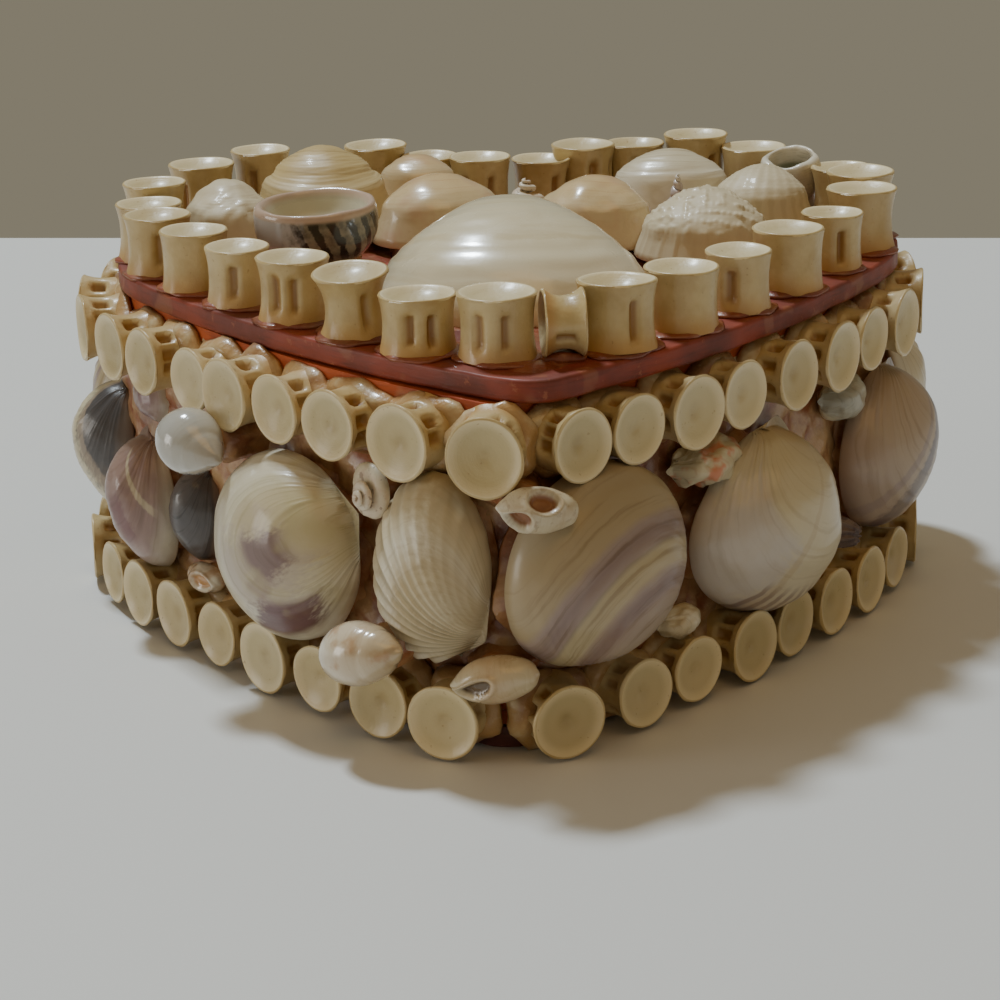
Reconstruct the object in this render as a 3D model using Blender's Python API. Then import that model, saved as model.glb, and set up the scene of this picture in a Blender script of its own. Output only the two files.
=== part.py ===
"""Shell box: a heart-shaped wooden box with a loose lid, faced with sea shells and fish vertebrae.

All sizes below are in millimetres; finish_object() turns each mesh into metres. The origin is the middle
of the underside, +X is the box's width, the heart's point looks along -Y and +Z is up. A place on the wall
is a station: the distance round the wall's outside from the heart's point, positive towards +X.
"""

import math
from dataclasses import dataclass

import bmesh
import bpy
from mathutils import Matrix, Vector

MM = 0.001
GAP = 0.3  # between pieces that touch

# Heart outline of the wall's outside
HALF_WIDTH = 65.0
LOBE_RADIUS = 37.6
LOBE_LINE = 24.1  # Y of both lobes' centres
POINT_Y = -61.6
POINT_RADIUS = 6.0
SIDE_RADIUS = 223.0
NOTCH_RADIUS = 3.0

# Boards
FLOOR_THICK = 3.5
WALL_THICK = 3.0
WALL_TOP = 53.5
LID_THICK = 3.5
LID_OVERHANG = 1.0
LID_EDGE_ROUND = 0.6
LID_TURN = math.radians(2.7)  # the lid sits slightly askew
LID_SHIFT = (1.7, -0.3)
LID_STRETCH = 1.035  # the lid was cut a little wider on its right side
LID_UNDER = WALL_TOP + GAP
LID_TOP = LID_UNDER + LID_THICK

# Fish vertebrae
BEAD_RADIUS = 5.55
BEAD_WAIST = 0.8  # of the radius
BEAD_DISH = 1.0
BEAD_SIDES = 8
ROW_BEAD_LENGTH = 7.4
LID_BEAD_LENGTH = 9.6
BOTTOM_ROW_HEIGHT = 6.25
TOP_ROW_HEIGHT = 47.7
FOOT_MEET = 0.5  # how far neighbours' glue overlaps, each
LYING_LENGTH = 6.2
LYING_RADIUS = 5.2
LID_BEAD_INSET = 5.8  # from the lid's edge to a vertebra's middle

# Shells
BED_SHARE = 0.84  # of a valve's outline, for the glue under it
BEAK_GAP = 0.06  # share of a valve's length between its beak and its hinge line

COLLECTION = "shell_box"
HELPERS = "shell_box_helpers"


# ---------------------------------------------------------------- outline

@dataclass(frozen=True)
class Arc:
    """One arc of the heart's right half. side is 1 where the heart bulges and -1 in the notch."""

    centre: Vector
    radius: float
    first: float
    last: float
    side: int
    steps: int

    def length(self):
        return self.radius * abs(self.last - self.first)

    def at(self, share, out):
        angle = self.first + share * (self.last - self.first)
        ray = Vector((math.cos(angle), math.sin(angle)))
        return self.centre + ray * (self.radius + self.side * out), ray * self.side


def heart_arcs():
    """The right half of the wall's outline, from the point to the notch, as tangent arcs."""
    lobe = Vector((HALF_WIDTH - LOBE_RADIUS, LOBE_LINE))
    point = Vector((0.0, POINT_Y + POINT_RADIUS))
    to_lobe, to_point = SIDE_RADIUS - LOBE_RADIUS, SIDE_RADIUS - POINT_RADIUS
    apart = (lobe - point).length
    ahead = (apart ** 2 + to_point ** 2 - to_lobe ** 2) / (2 * apart)
    axis = (lobe - point) / apart
    side = point + axis * ahead + Vector((-axis.y, axis.x)) * math.sqrt(to_point ** 2 - ahead ** 2)
    notch = Vector((0.0, lobe.y + math.sqrt((LOBE_RADIUS + NOTCH_RADIUS) ** 2 - lobe.x ** 2)))
    leave_point = math.atan2(*(point - side).yx)
    reach_lobe = math.atan2(*(lobe - side).yx)
    leave_lobe = math.atan2(*(notch - lobe).yx)
    return (
        Arc(point, POINT_RADIUS, -math.pi / 2, leave_point, 1, 3),
        Arc(side, SIDE_RADIUS, leave_point, reach_lobe, 1, 5),
        Arc(lobe, LOBE_RADIUS, reach_lobe, leave_lobe, 1, 13),
        Arc(notch, NOTCH_RADIUS, leave_lobe - math.pi, -math.pi / 2, -1, 2),
    )


ARCS = heart_arcs()


def on_wall(station, out=0.0):
    """The point out from the wall at this station, and the wall's outward direction there."""
    left = abs(station)
    for arc in ARCS[:-1]:
        if left <= arc.length():
            break
        left -= arc.length()
    else:
        arc = ARCS[-1]
    point, outward = arc.at(min(left / arc.length(), 1.0), out)
    flip = -1 if station < 0 else 1
    return Vector((point.x * flip, point.y)), Vector((outward.x * flip, outward.y))


def on_lid(station, out=0.0):
    """The same on the lid, which is a little wider on its right side."""
    point, outward = on_wall(station, out)
    return widened(point), outward


def widened(point):
    return Vector((point.x * (LID_STRETCH if point.x > 0 else 1.0), point.y))


def outline(out):
    """The closed heart at this distance out from the wall, anticlockwise from the point."""
    right = [ARCS[0].at(0, out)[0]]
    for arc in ARCS:
        right += [arc.at(step / arc.steps, out)[0] for step in range(1, arc.steps + 1)]
    left = [Vector((-p.x, p.y)) for p in reversed(right[1:-1])]
    return right + left


# ---------------------------------------------------------------- materials and objects

def material(name, colour, roughness, metallic=0.0, coat=0.0):
    made = bpy.data.materials.new(name)
    made.use_nodes = True
    shader = made.node_tree.nodes["Principled BSDF"]
    shader.inputs["Base Color"].default_value = (*colour, 1.0)
    shader.inputs["Roughness"].default_value = roughness
    shader.inputs["Metallic"].default_value = metallic
    shader.inputs["Coat Weight"].default_value = coat
    made.diffuse_color = (*colour, 1.0)
    return made


def make_materials():
    """Every finish on the box, by name."""
    return {
        "board": material("stained_board", (0.16, 0.04, 0.02), 0.55),
        "wall": material("orange_board", (0.62, 0.13, 0.03), 0.5),
        "bone": material("fish_bone", (0.68, 0.56, 0.33), 0.35),
        "cream": material("cream_shell", (0.66, 0.57, 0.40), 0.35, coat=0.2),
        "ivory": material("ivory_shell", (0.76, 0.69, 0.54), 0.22, coat=0.5),
        "tan": material("tan_shell", (0.47, 0.35, 0.22), 0.4, coat=0.1),
        "mauve": material("mauve_shell", (0.34, 0.22, 0.19), 0.4, coat=0.1),
        "slate": material("slate_shell", (0.09, 0.075, 0.07), 0.35, coat=0.2),
        "peach": material("peach_shell", (0.72, 0.47, 0.27), 0.3, coat=0.4),
        "pearl": material("pearl_snail", (0.62, 0.60, 0.55), 0.15, coat=0.8),
        "zebra": material("zebra_snail", (0.12, 0.11, 0.09), 0.12, coat=0.9),
        "coral": material("white_coral", (0.68, 0.55, 0.42), 0.7),
    }


def new_collection(name, hidden=False):
    made = bpy.data.collections.new(name)
    bpy.context.scene.collection.children.link(made)
    made.hide_render = hidden
    return made


def finish_object(name, form, finish, parent=None, helper=False):
    """Turns a bmesh in millimetres into an object in metres, in its collection."""
    bmesh.ops.recalc_face_normals(form, faces=form.faces)
    if form.calc_volume(signed=True) < 0:
        bmesh.ops.reverse_faces(form, faces=form.faces)
    bmesh.ops.scale(form, vec=Vector((MM, MM, MM)), verts=form.verts)
    mesh = bpy.data.meshes.new(name)
    form.to_mesh(mesh)
    form.free()
    mesh.materials.append(finish)
    mesh.shade_smooth()
    mesh.set_sharp_from_angle(angle=math.radians(40))
    made = bpy.data.objects.new(name, mesh)
    bpy.data.collections[HELPERS if helper else COLLECTION].objects.link(made)
    made.parent = parent
    if helper:
        made.hide_render = True
        made.display_type = "WIRE"
    return made


# ---------------------------------------------------------------- boards

def board_mesh(edges, low, high, rounding=0.0):
    """A flat board between two heights, from one outline or an outline with a hole, as a filled curve."""
    flat = bpy.data.curves.new("board_outline", "CURVE")
    flat.dimensions = "2D"
    flat.fill_mode = "BOTH"
    flat.extrude = (high - low) / 2 - rounding
    flat.bevel_depth = rounding
    flat.bevel_resolution = 0
    for points in edges:
        line = flat.splines.new("POLY")
        line.points.add(len(points) - 1)
        line.use_cyclic_u = True
        for place, point in zip(line.points, points):
            place.co = (point.x, point.y, 0.0, 1.0)
    guide = bpy.data.objects.new("board_outline", flat)
    bpy.data.collections[HELPERS].objects.link(guide)
    graph = bpy.context.evaluated_depsgraph_get()
    mesh = bpy.data.meshes.new_from_object(guide.evaluated_get(graph))
    form = bmesh.new()
    form.from_mesh(mesh)
    bmesh.ops.remove_doubles(form, verts=form.verts, dist=0.001)
    bmesh.ops.translate(form, vec=Vector((0, 0, (low + high) / 2)), verts=form.verts)
    bpy.data.objects.remove(guide)
    bpy.data.meshes.remove(mesh)
    return form


def make_boards(finishes, lid_pose):
    finish_object("floor_board", board_mesh([outline(0)], 0, FLOOR_THICK), finishes["board"])
    ring = [outline(0), outline(-WALL_THICK)]
    finish_object("wall", board_mesh(ring, FLOOR_THICK + GAP, WALL_TOP), finishes["wall"])
    edge = [widened(point) for point in outline(LID_OVERHANG - LID_EDGE_ROUND)]
    lid = board_mesh([edge], LID_UNDER, LID_TOP, LID_EDGE_ROUND)
    finish_object("lid_board", lid, finishes["board"], lid_pose)


# ---------------------------------------------------------------- placing on the wall and the lid

def spin(angle, axis):
    return Matrix.Rotation(math.radians(angle), 4, axis)


def wall_place(station, height, out, yaw=0.0, nod=0.0, turn=0.0):
    """A frame on the wall: +X along it, +Y up and +Z outwards, then yawed, nodded and turned."""
    point, outward = on_wall(station, out)
    axes = Matrix((Vector((-outward.y, outward.x, 0)), Vector((0, 0, 1)), outward.to_3d()))
    seat = Matrix.Translation((point.x, point.y, height)) @ axes.transposed().to_4x4()
    return seat @ spin(yaw, "Y") @ spin(nod, "X") @ spin(turn, "Z")


def lid_place(x, y, lift, yaw=0.0, nod=0.0, turn=0.0):
    """A frame on the lid: +Y to its back and +Z up, then yawed, nodded and turned."""
    return Matrix.Translation((x, y, LID_TOP + lift)) @ spin(yaw, "Y") @ spin(nod, "X") @ spin(turn, "Z")


# ---------------------------------------------------------------- fish vertebrae

@dataclass(frozen=True)
class Bead:
    """A vertebra on a row: its place and turn, and what is added to its glue, length and radius."""

    station: float
    out: float = 0.0
    yaw: float = 0.0
    more_foot: float = 0.0
    more: float = 0.0
    wide: float = 0.0


def turned_bead(length, radius, foot):
    """A vertebra: a spool dished at +Z, standing on Z = 0 in glue that reaches to foot along X."""
    waist = radius * BEAD_WAIST
    profile = ((0, 0), (radius, 0), (waist, length / 2), (radius, length), (0, length - BEAD_DISH))
    form = bmesh.new()
    line = [form.verts.new((reach, 0, height)) for reach, height in profile]
    edges = [form.edges.new(pair) for pair in zip(line, line[1:])]
    bmesh.ops.spin(form, geom=line + edges, axis=(0, 0, 1), cent=(0, 0, 0), angle=math.tau,
                   steps=BEAD_SIDES, use_merge=True)
    bmesh.ops.remove_doubles(form, verts=form.verts, dist=0.001)
    for vertex in form.verts:
        if vertex.co.z < 0.001:
            vertex.co.x *= foot / radius
    return form


def add_bead(form, bead):
    """Adds a bmesh to one that holds others."""
    mesh = bpy.data.meshes.new("bead")
    bead.to_mesh(mesh)
    bead.free()
    form.from_mesh(mesh)
    bpy.data.meshes.remove(mesh)


def size_of(number, amount=0.25):
    """A small steady change of size from one vertebra to the next."""
    return amount * math.sin(2.4 * number + 0.7)


def fuse_run(name, beads, places, length, finish, parent=None):
    """One node from a run of vertebrae that meet at the foot. Every other one is in each of two meshes."""
    halves = [bmesh.new(), bmesh.new()]
    gaps = [0.0] + [(a.translation - b.translation).length for a, b in zip(places, places[1:])] + [0.0]
    for number, (bead, place) in enumerate(zip(beads, places)):
        radius = BEAD_RADIUS + size_of(number) + bead.wide
        meet = max(gaps[number:number + 2]) / 2 + FOOT_MEET
        foot = max(meet, radius) + bead.more_foot
        form = turned_bead(length + size_of(number, 0.4) + bead.more, radius, foot)
        form.transform(place)
        add_bead(halves[number % 2], form)
    run = finish_object(name, halves[0], finish, parent)
    union = run.modifiers.new("join", "BOOLEAN")
    union.operation = "UNION"
    union.solver = "EXACT"
    union.object = finish_object(name + "_others", halves[1], finish, parent, helper=True)
    return run


def wall_run(name, beads, height, finish):
    places = [wall_place(bead.station, height, GAP + bead.out, bead.yaw) for bead in beads]
    return fuse_run(name, beads, places, ROW_BEAD_LENGTH, finish)


def lid_run(name, beads, finish, lid_pose):
    places = []
    for bead in beads:
        point, outward = on_lid(bead.station, LID_OVERHANG - LID_BEAD_INSET + bead.out)
        facing = Matrix.Rotation(math.atan2(outward.x, -outward.y), 4, "Z")
        places.append(Matrix.Translation((point.x, point.y, LID_TOP + GAP)) @ facing)
    return fuse_run(name, beads, places, LID_BEAD_LENGTH, finish, lid_pose)


def evenly(first, last, count, out=0.0):
    return [Bead(first + (last - first) * k / (count - 1), out) for k in range(count)]


BOTTOM_RIGHT = [Bead(5.5, 1.2, -14, 1.5), Bead(19.2, 0.6, more_foot=0.8)] + [
    Bead(at) for at in (31.6, 44.5, 56.5, 68.5, 80.5, 92.5)]
BOTTOM_LEFT = [Bead(-6.6, 1.2, 14, 1.3), Bead(-18, 1.2, 6, 1), Bead(-31, 0.6, more_foot=1)] + [
    Bead(at) for at in (-43.8, -57, -69.5, -81.5, -93)]
TOP_RIGHT = [Bead(-1.2, 0.2, wide=0.25), Bead(7.8, 0.2)] + [
    Bead(at) for at in (19, 30.9, 42.5, 56, 69, 81, 92.6)]
TOP_LEFT = [Bead(-12.8, wide=0.2)] + [Bead(at) for at in (-26.8, -39, -50.6, -61, -75.5, -87)]
LID_RIGHT = [
    Bead(20.4, more_foot=-1.2, more=0.4, wide=0.4), Bead(35.2, more_foot=0.8, wide=0.2), Bead(50.3),
    Bead(65.6), Bead(82.4, wide=-0.3), Bead(98.5, more=0.8, wide=0.3), Bead(112, more=1.2, wide=0.4),
    Bead(122.6, more=0.8)]
LID_LEFT = [
    Bead(-11.6, -3, wide=0.3), Bead(-23.8, 1, more=-0.8, wide=0.2), Bead(-38.2, more=0.8, wide=0.6),
    Bead(-53.2), Bead(-68.4), Bead(-82.3)]
LID_RIGHT_LOBE = [
    Bead(147.3, more=1), Bead(159.6, more=3, wide=0.2), Bead(172, more=1.8), Bead(183, more=1.5),
    Bead(193, more=0.6)]
LID_LEFT_LOBE = [
    Bead(-97), Bead(-109.5), Bead(-122, 1.2, more=1.6), Bead(-137.5, more=1.8), Bead(-152.5, more=3.2),
    Bead(-165), Bead(-177, more=2.4), Bead(-189, more=1.4), Bead(-198.8, more=1.4, wide=-0.3)]


def make_rows(finishes, lid_pose):
    bone = finishes["bone"]
    for row, height, right, left, right_lobe, left_lobe in (
        ("bottom", BOTTOM_ROW_HEIGHT, BOTTOM_RIGHT, BOTTOM_LEFT, 105.4, -105.8),
        ("top", TOP_ROW_HEIGHT, TOP_RIGHT, TOP_LEFT, 105.4, -99.8),
    ):
        wall_run(row + "_vertebrae_right", right, height, bone)
        wall_run(row + "_vertebrae_left", left, height, bone)
        wall_run(row + "_vertebrae_right_lobe", evenly(right_lobe, 188, 8), height, bone)
        wall_run(row + "_vertebrae_left_lobe", evenly(left_lobe, -188, 8), height, bone)
    lid_run("lid_vertebrae_right", LID_RIGHT, bone, lid_pose)
    lid_run("lid_vertebrae_left", LID_LEFT, bone, lid_pose)
    lid_run("lid_vertebrae_right_lobe", LID_RIGHT_LOBE, bone, lid_pose)
    lid_run("lid_vertebrae_left_lobe", LID_LEFT_LOBE, bone, lid_pose)
    lying = turned_bead(LYING_LENGTH, LYING_RADIUS, LYING_RADIUS)
    lying.transform(spin(90, "Y") @ Matrix.Translation((0, 0, -LYING_LENGTH / 2)))
    lying.transform(lid_place(5.0, -51, LYING_RADIUS + GAP, turn=3))
    finish_object("lid_vertebra_on_its_side", lying, bone, lid_pose)


# ---------------------------------------------------------------- shells

@dataclass(frozen=True)
class Valve:
    """A clam or cockle valve on its edge, beak towards +Y. Each older edge is a smaller copy, turned up.

    curl is how fast it shrinks as it turns: 0.8 gives a deep valve and 1.7 a nearly flat one. skew leans
    the free edge towards +X and flare below 0 makes it broad. bed is the depth of the glue under it.
    """

    width: float
    length: float
    curl: float = 1.1
    skew: float = 0.0
    flare: float = 0.0
    bed: float = 0.0
    sides: int = 9
    turns: tuple = (0, 17, 38, 66, 105)

    def edge(self, around):
        """Half the width from the middle line, and the distance from the beak, along the free edge."""
        away = (1 - math.cos(around)) / 2
        across = self.width / 2 * math.sin(around) * (1 + self.flare * math.cos(around))
        return across + self.skew * self.width * away, self.length * (BEAK_GAP + (1 - BEAK_GAP) * away)

    def ring(self, turn):
        """The edge as it was when the valve was smaller, turned up about the beak."""
        shrink = math.exp(-self.curl * turn)
        for side in range(self.sides):
            across, down = self.edge(side * math.tau / self.sides)
            down *= shrink
            yield Vector((across * shrink, self.length / 2 - down * math.cos(turn), down * math.sin(turn)))

    def build(self):
        rings = [list(self.ring(math.radians(turn))) for turn in self.turns]
        if self.bed:
            rings.insert(0, [Vector((p.x * BED_SHARE, p.y * BED_SHARE, -self.bed)) for p in rings[0]])
        form = bmesh.new()
        loops = [[form.verts.new(point) for point in ring] for ring in rings]
        for low, high in zip(loops, loops[1:]):
            for k in range(self.sides):
                form.faces.new((low[k - 1], low[k], high[k], high[k - 1]))
        form.faces.new(loops[0])
        form.faces.new(loops[-1])
        return form


@dataclass(frozen=True)
class Turned:
    """A snail, barnacle or cup: a profile in shares of the radius and the height, turned about its axis.

    It stands on the low end of its axis, or lies with the axis along +Y where lying is set.
    """

    profile: tuple
    width: float
    height: float
    depth: float = 0.0
    lying: bool = True
    sides: int = 7

    def build(self):
        form = bmesh.new()
        line = [form.verts.new((reach / 2, 0, rise)) for reach, rise in self.profile]
        edges = [form.edges.new(pair) for pair in zip(line, line[1:])]
        bmesh.ops.spin(form, geom=line + edges, axis=(0, 0, 1), cent=(0, 0, 0), angle=math.tau,
                       steps=self.sides, use_merge=True)
        bmesh.ops.remove_doubles(form, verts=form.verts, dist=0.001)
        depth = self.depth or self.width
        bmesh.ops.scale(form, vec=(self.width, depth, self.height), verts=form.verts)
        if self.lying:
            form.transform(spin(-90, "X") @ Matrix.Translation((0, 0, -self.height / 2)))
            lowest = min(vertex.co.z for vertex in form.verts)
            bmesh.ops.translate(form, vec=(0, 0, -lowest), verts=form.verts)
        return form


@dataclass(frozen=True)
class Seat:
    """Where a shell sits: station and height on the wall, or X and Y on the lid, and how it is turned."""

    name: str
    finish: str
    form: object
    across: float
    up: float
    turn: float = 0.0
    out: float = 0.0
    yaw: float = 0.0
    nod: float = 0.0


SNAIL = ((0, 0), (0.66, 0.05), (1, 0.36), (0.76, 0.7), (0.3, 0.92), (0, 1))
OLIVE = ((0, 0), (0.6, 0.08), (1, 0.45), (0.72, 0.8), (0, 1))
CONE = ((0, 0), (1, 0), (0.5, 1), (0.3, 1), (0, 0.7))
CUP = ((0, 0), (0.5, 0), (0.95, 0.6), (1, 1), (0.84, 1), (0.6, 0.5), (0, 0.3))
NERITE = ((0, 0), (0.62, 0.04), (1, 0.42), (0.98, 0.82), (0.84, 1), (0.66, 0.8), (0, 0.6))

WALL_SHELLS = (
    Seat("cockle", "cream", Valve(26.6, 24, 0.8, -0.3, bed=3, sides=11), -10.7, 24.6, -121),
    Seat("cream_banded_clam", "cream", Valve(30, 34, 1.0, bed=4, sides=11), -38.3, 25.9, -62),
    Seat("slate_clam", "slate", Valve(11.5, 17, 0.9), -69.8, 22.4),
    Seat("pearl_snail", "pearl", Turned(SNAIL, 11, 14), -53.2, 39.8, -100, 6),
    Seat("mauve_clam", "mauve", Valve(14.2, 24, 0.9, bed=3), -81.4, 22.5, 10),
    Seat("taupe_clam", "tan", Valve(8, 11, 1.0, sides=7), -85.5, 38.4, 75),
    Seat("beige_snail", "peach", Turned(OLIVE, 5.0, 10.5), -65.5, 12.9, 90, 1),
    Seat("far_left_clam", "slate", Valve(17, 25, 0.8), -104.5, 25.6),
    Seat("speckled_snail", "coral", Turned(SNAIL, 6.8, 9), -19.6, 38.8, 90, 3.5),
    Seat("mottled_snail", "peach", Turned(SNAIL, 10.6, 15.5), -14.8, 16.4, -75, 8.4),
    Seat("slit_shell", "cream", Turned(OLIVE, 7.4, 12.6), 1.6, 40.6, 80, 6.6, 4),
    Seat("olive_shell", "peach", Turned(OLIVE, 7.8, 13.6), -0.9, 13.9, 100, 3.6),
    Seat("tan_banded_clam", "tan", Valve(33.5, 32, 0.85, bed=4, sides=11), 11.8, 27.4, -146),
    Seat("coral_piece", "coral", Valve(7.5, 16, 0.9, sides=7), 37.4, 37.6, 90, 2),
    Seat("white_clam", "cream", Valve(33, 31.4, 0.8, flare=-0.34, bed=4, sides=11), 51, 26.1, -8),
    Seat("grey_clam", "tan", Valve(8, 14, 1.0, sides=7), 77.3, 38.1, 82, 2),
    Seat("beige_clam", "cream", Valve(5.4, 9.5, 1.0, sides=7), 31, 13.4, 90, 3),
    Seat("barnacle", "coral", Turned(CONE, 5.8, 4, lying=False), 76, 15.3, 0, 3),
    Seat("ray_clam", "mauve", Valve(28, 29.5, 0.9, flare=-0.15, bed=2.4, sides=11), 92, 26.8, 42),
    Seat("right_lobe_clam_1", "cream", Valve(27, 30, 0.95, bed=3, sides=8), 124, 26.9, 8),
    Seat("right_lobe_clam_2", "tan", Valve(25, 28, 1.0, sides=8), 151.5, 26.9, -12),
    Seat("right_lobe_cockle", "cream", Valve(20, 28, 0.8, sides=8), 175, 26.9, 6),
    Seat("left_lobe_clam_1", "tan", Valve(26, 30, 0.95, bed=3, sides=8), -129, 26.9, -10),
    Seat("left_lobe_clam_2", "cream", Valve(25, 28, 1.0, sides=8), -155.5, 26.9, 12),
    Seat("left_lobe_cockle", "cream", Valve(18.5, 28, 0.8, sides=8), -178, 26.9, -6),
    Seat("notch_snail_low", "peach", Turned(SNAIL, 8, 10), 196, 19, 0, 2),
    Seat("notch_snail_high", "coral", Turned(SNAIL, 8, 10), 196, 35, 0, 2),
)

LID_SHELLS = (
    Seat("lid_ivory_clam", "ivory", Valve(43, 42.5, 0.9, flare=-0.05, sides=12), -0.5, -12),
    Seat("lid_zebra_nerite", "zebra", Turned(NERITE, 20.6, 10.2, 17, False, 10), -31.2, 6, 0, 2.6, 0, 12),
    Seat("lid_tan_clam", "tan", Valve(21.4, 21, 0.9, bed=7), -30.6, 33.5, 0, 1.5, 0, 10),
    Seat("lid_rough_clam", "cream", Valve(15, 18, 1.0, bed=6), -46.8, 26, 12),
    Seat("lid_orange_clam", "peach", Valve(20.5, 16.5, 0.8, bed=6), -10.6, 24, 12),
    Seat("lid_peach_clam", "peach", Valve(13, 10.5, 0.9, bed=9.6), -14, 39),
    Seat("lid_small_snail", "coral", Turned(SNAIL, 9, 9.5, lying=False), 4.6, 33.5),
    Seat("lid_orange_peach_clam", "peach", Valve(19.5, 16.5, 0.8, bed=5), 15.6, 20, -8),
    Seat("lid_peach_snail", "peach", Turned(SNAIL, 6.4, 9.5, lying=False), 16.5, 36),
    Seat("lid_grey_white_clam", "cream", Valve(20, 15.5, 0.9, bed=7), 30.8, 38.6),
    Seat("lid_purple_snail", "mauve", Turned(SNAIL, 5, 11, lying=False), 31.2, 27),
    Seat("lid_bumpy_clam", "cream", Valve(21, 19, 0.9, bed=3.5), 33.4, 9.5, -10),
    Seat("lid_beige_clam", "tan", Valve(16.5, 17, 1.0, bed=6), 45, 24.5, -18),
    Seat("lid_cup", "cream", Turned(CUP, 10.6, 11.4, lying=False, sides=9), 53.8, 42.6),
)


def make_shells(finishes, lid_pose):
    for seat in WALL_SHELLS + LID_SHELLS:
        on_lid = seat in LID_SHELLS
        form = seat.form.build()
        lift = GAP + seat.out + getattr(seat.form, "bed", 0)
        place = lid_place if on_lid else wall_place
        form.transform(place(seat.across, seat.up, lift, seat.yaw, seat.nod, seat.turn))
        finish_object(seat.name, form, finishes[seat.finish], lid_pose if on_lid else None)


def clear_scene():
    for item in list(bpy.data.objects):
        bpy.data.objects.remove(item)


def main():
    clear_scene()
    new_collection(COLLECTION)
    new_collection(HELPERS, hidden=True)
    finishes = make_materials()
    lid_pose = bpy.data.objects.new("lid_pose", None)
    bpy.data.collections[COLLECTION].objects.link(lid_pose)
    lid_pose.location = (LID_SHIFT[0] * MM, LID_SHIFT[1] * MM, 0)
    lid_pose.rotation_euler = (0, 0, LID_TURN)
    make_boards(finishes, lid_pose)
    make_rows(finishes, lid_pose)
    make_shells(finishes, lid_pose)


main()
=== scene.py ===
"""Shell box, dressed: boards, fish vertebrae, sea shells and glue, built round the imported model.

Lengths are in millimetres until a Skin becomes an object, which is in metres. The origin is the middle of the
underside, +X is the box's width, the heart's point looks along -Y and +Z is up. A place on the wall is a
station: the distance round the wall's outside from the heart's point, positive towards +X.
"""

from __future__ import annotations

import logging
import math
from dataclasses import dataclass, field
from enum import Enum
from typing import Callable, Sequence, Union

import bpy
import numpy as np
from mathutils import Matrix, Vector


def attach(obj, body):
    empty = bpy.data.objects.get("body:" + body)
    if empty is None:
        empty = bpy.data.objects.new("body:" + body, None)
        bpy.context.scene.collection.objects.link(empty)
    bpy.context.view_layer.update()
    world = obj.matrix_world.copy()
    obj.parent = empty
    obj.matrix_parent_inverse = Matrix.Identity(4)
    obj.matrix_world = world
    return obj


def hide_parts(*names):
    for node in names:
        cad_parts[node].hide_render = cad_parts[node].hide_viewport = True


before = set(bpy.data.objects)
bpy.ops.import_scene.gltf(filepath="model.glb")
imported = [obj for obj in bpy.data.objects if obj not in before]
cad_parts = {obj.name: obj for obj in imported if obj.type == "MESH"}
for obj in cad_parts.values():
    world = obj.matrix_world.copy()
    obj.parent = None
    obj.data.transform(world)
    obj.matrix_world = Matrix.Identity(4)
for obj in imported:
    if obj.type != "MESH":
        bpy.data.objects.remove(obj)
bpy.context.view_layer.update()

MM = 0.001
TAU = math.tau
BODY = "root"
FLOOR_GAP = 0.05
UP = np.array([0, 0, 1.0])
LIT = (0, 0, 0.035)
LOG = logging.getLogger("shell_box")

Colour = tuple[float, float, float]
Place = tuple[float, float, float]
Setting = Union[str, int, float, bool, tuple]
Values = dict[str, np.ndarray]


# --- shader maths

def operator(operation: str, reflected: bool = False) -> Callable[[Wire, Number], Wire]:
    """A method of Wire that adds a Math node.

    Args:
        operation: what the node does.
        reflected: whether the other value stands on the left.

    Returns:
        The method.
    """
    def method(wire: Wire, other: Number) -> Wire:
        """The result with a number or another wire."""
        return wire.graph.maths(operation, *((other, wire) if reflected else (wire, other)))
    return method


class Wire:
    """One output socket of a finish's nodes, so that shader maths reads as plain expressions."""

    def __init__(self, graph: Graph, socket: bpy.types.NodeSocket) -> None:
        """Keeps the socket and its graph, which adds the nodes that an expression needs."""
        self.graph = graph
        self.socket = socket

    __add__, __radd__ = operator("ADD"), operator("ADD", True)
    __sub__, __rsub__ = operator("SUBTRACT"), operator("SUBTRACT", True)
    __mul__, __rmul__ = operator("MULTIPLY"), operator("MULTIPLY", True)

    def __abs__(self) -> Wire:
        """The size, without its sign."""
        return self.graph.maths("ABSOLUTE", self, 0.0)

    def fade(self, none: float, full: float) -> Wire:
        """A smooth mask.

        Args:
            none: the value at which the mask is 0.
            full: the value at which the mask is 1, above or below none.

        Returns:
            The mask, from 0 to 1.
        """
        swap = none > full
        low, high = sorted((none, full))
        mask = self.graph.node(
            "ShaderNodeMapRange", {"interpolation_type": "SMOOTHSTEP"},
            {"Value": self, "From Min": low, "From Max": high})
        return 1 - mask if swap else mask


Number = Union[float, Wire]


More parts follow.
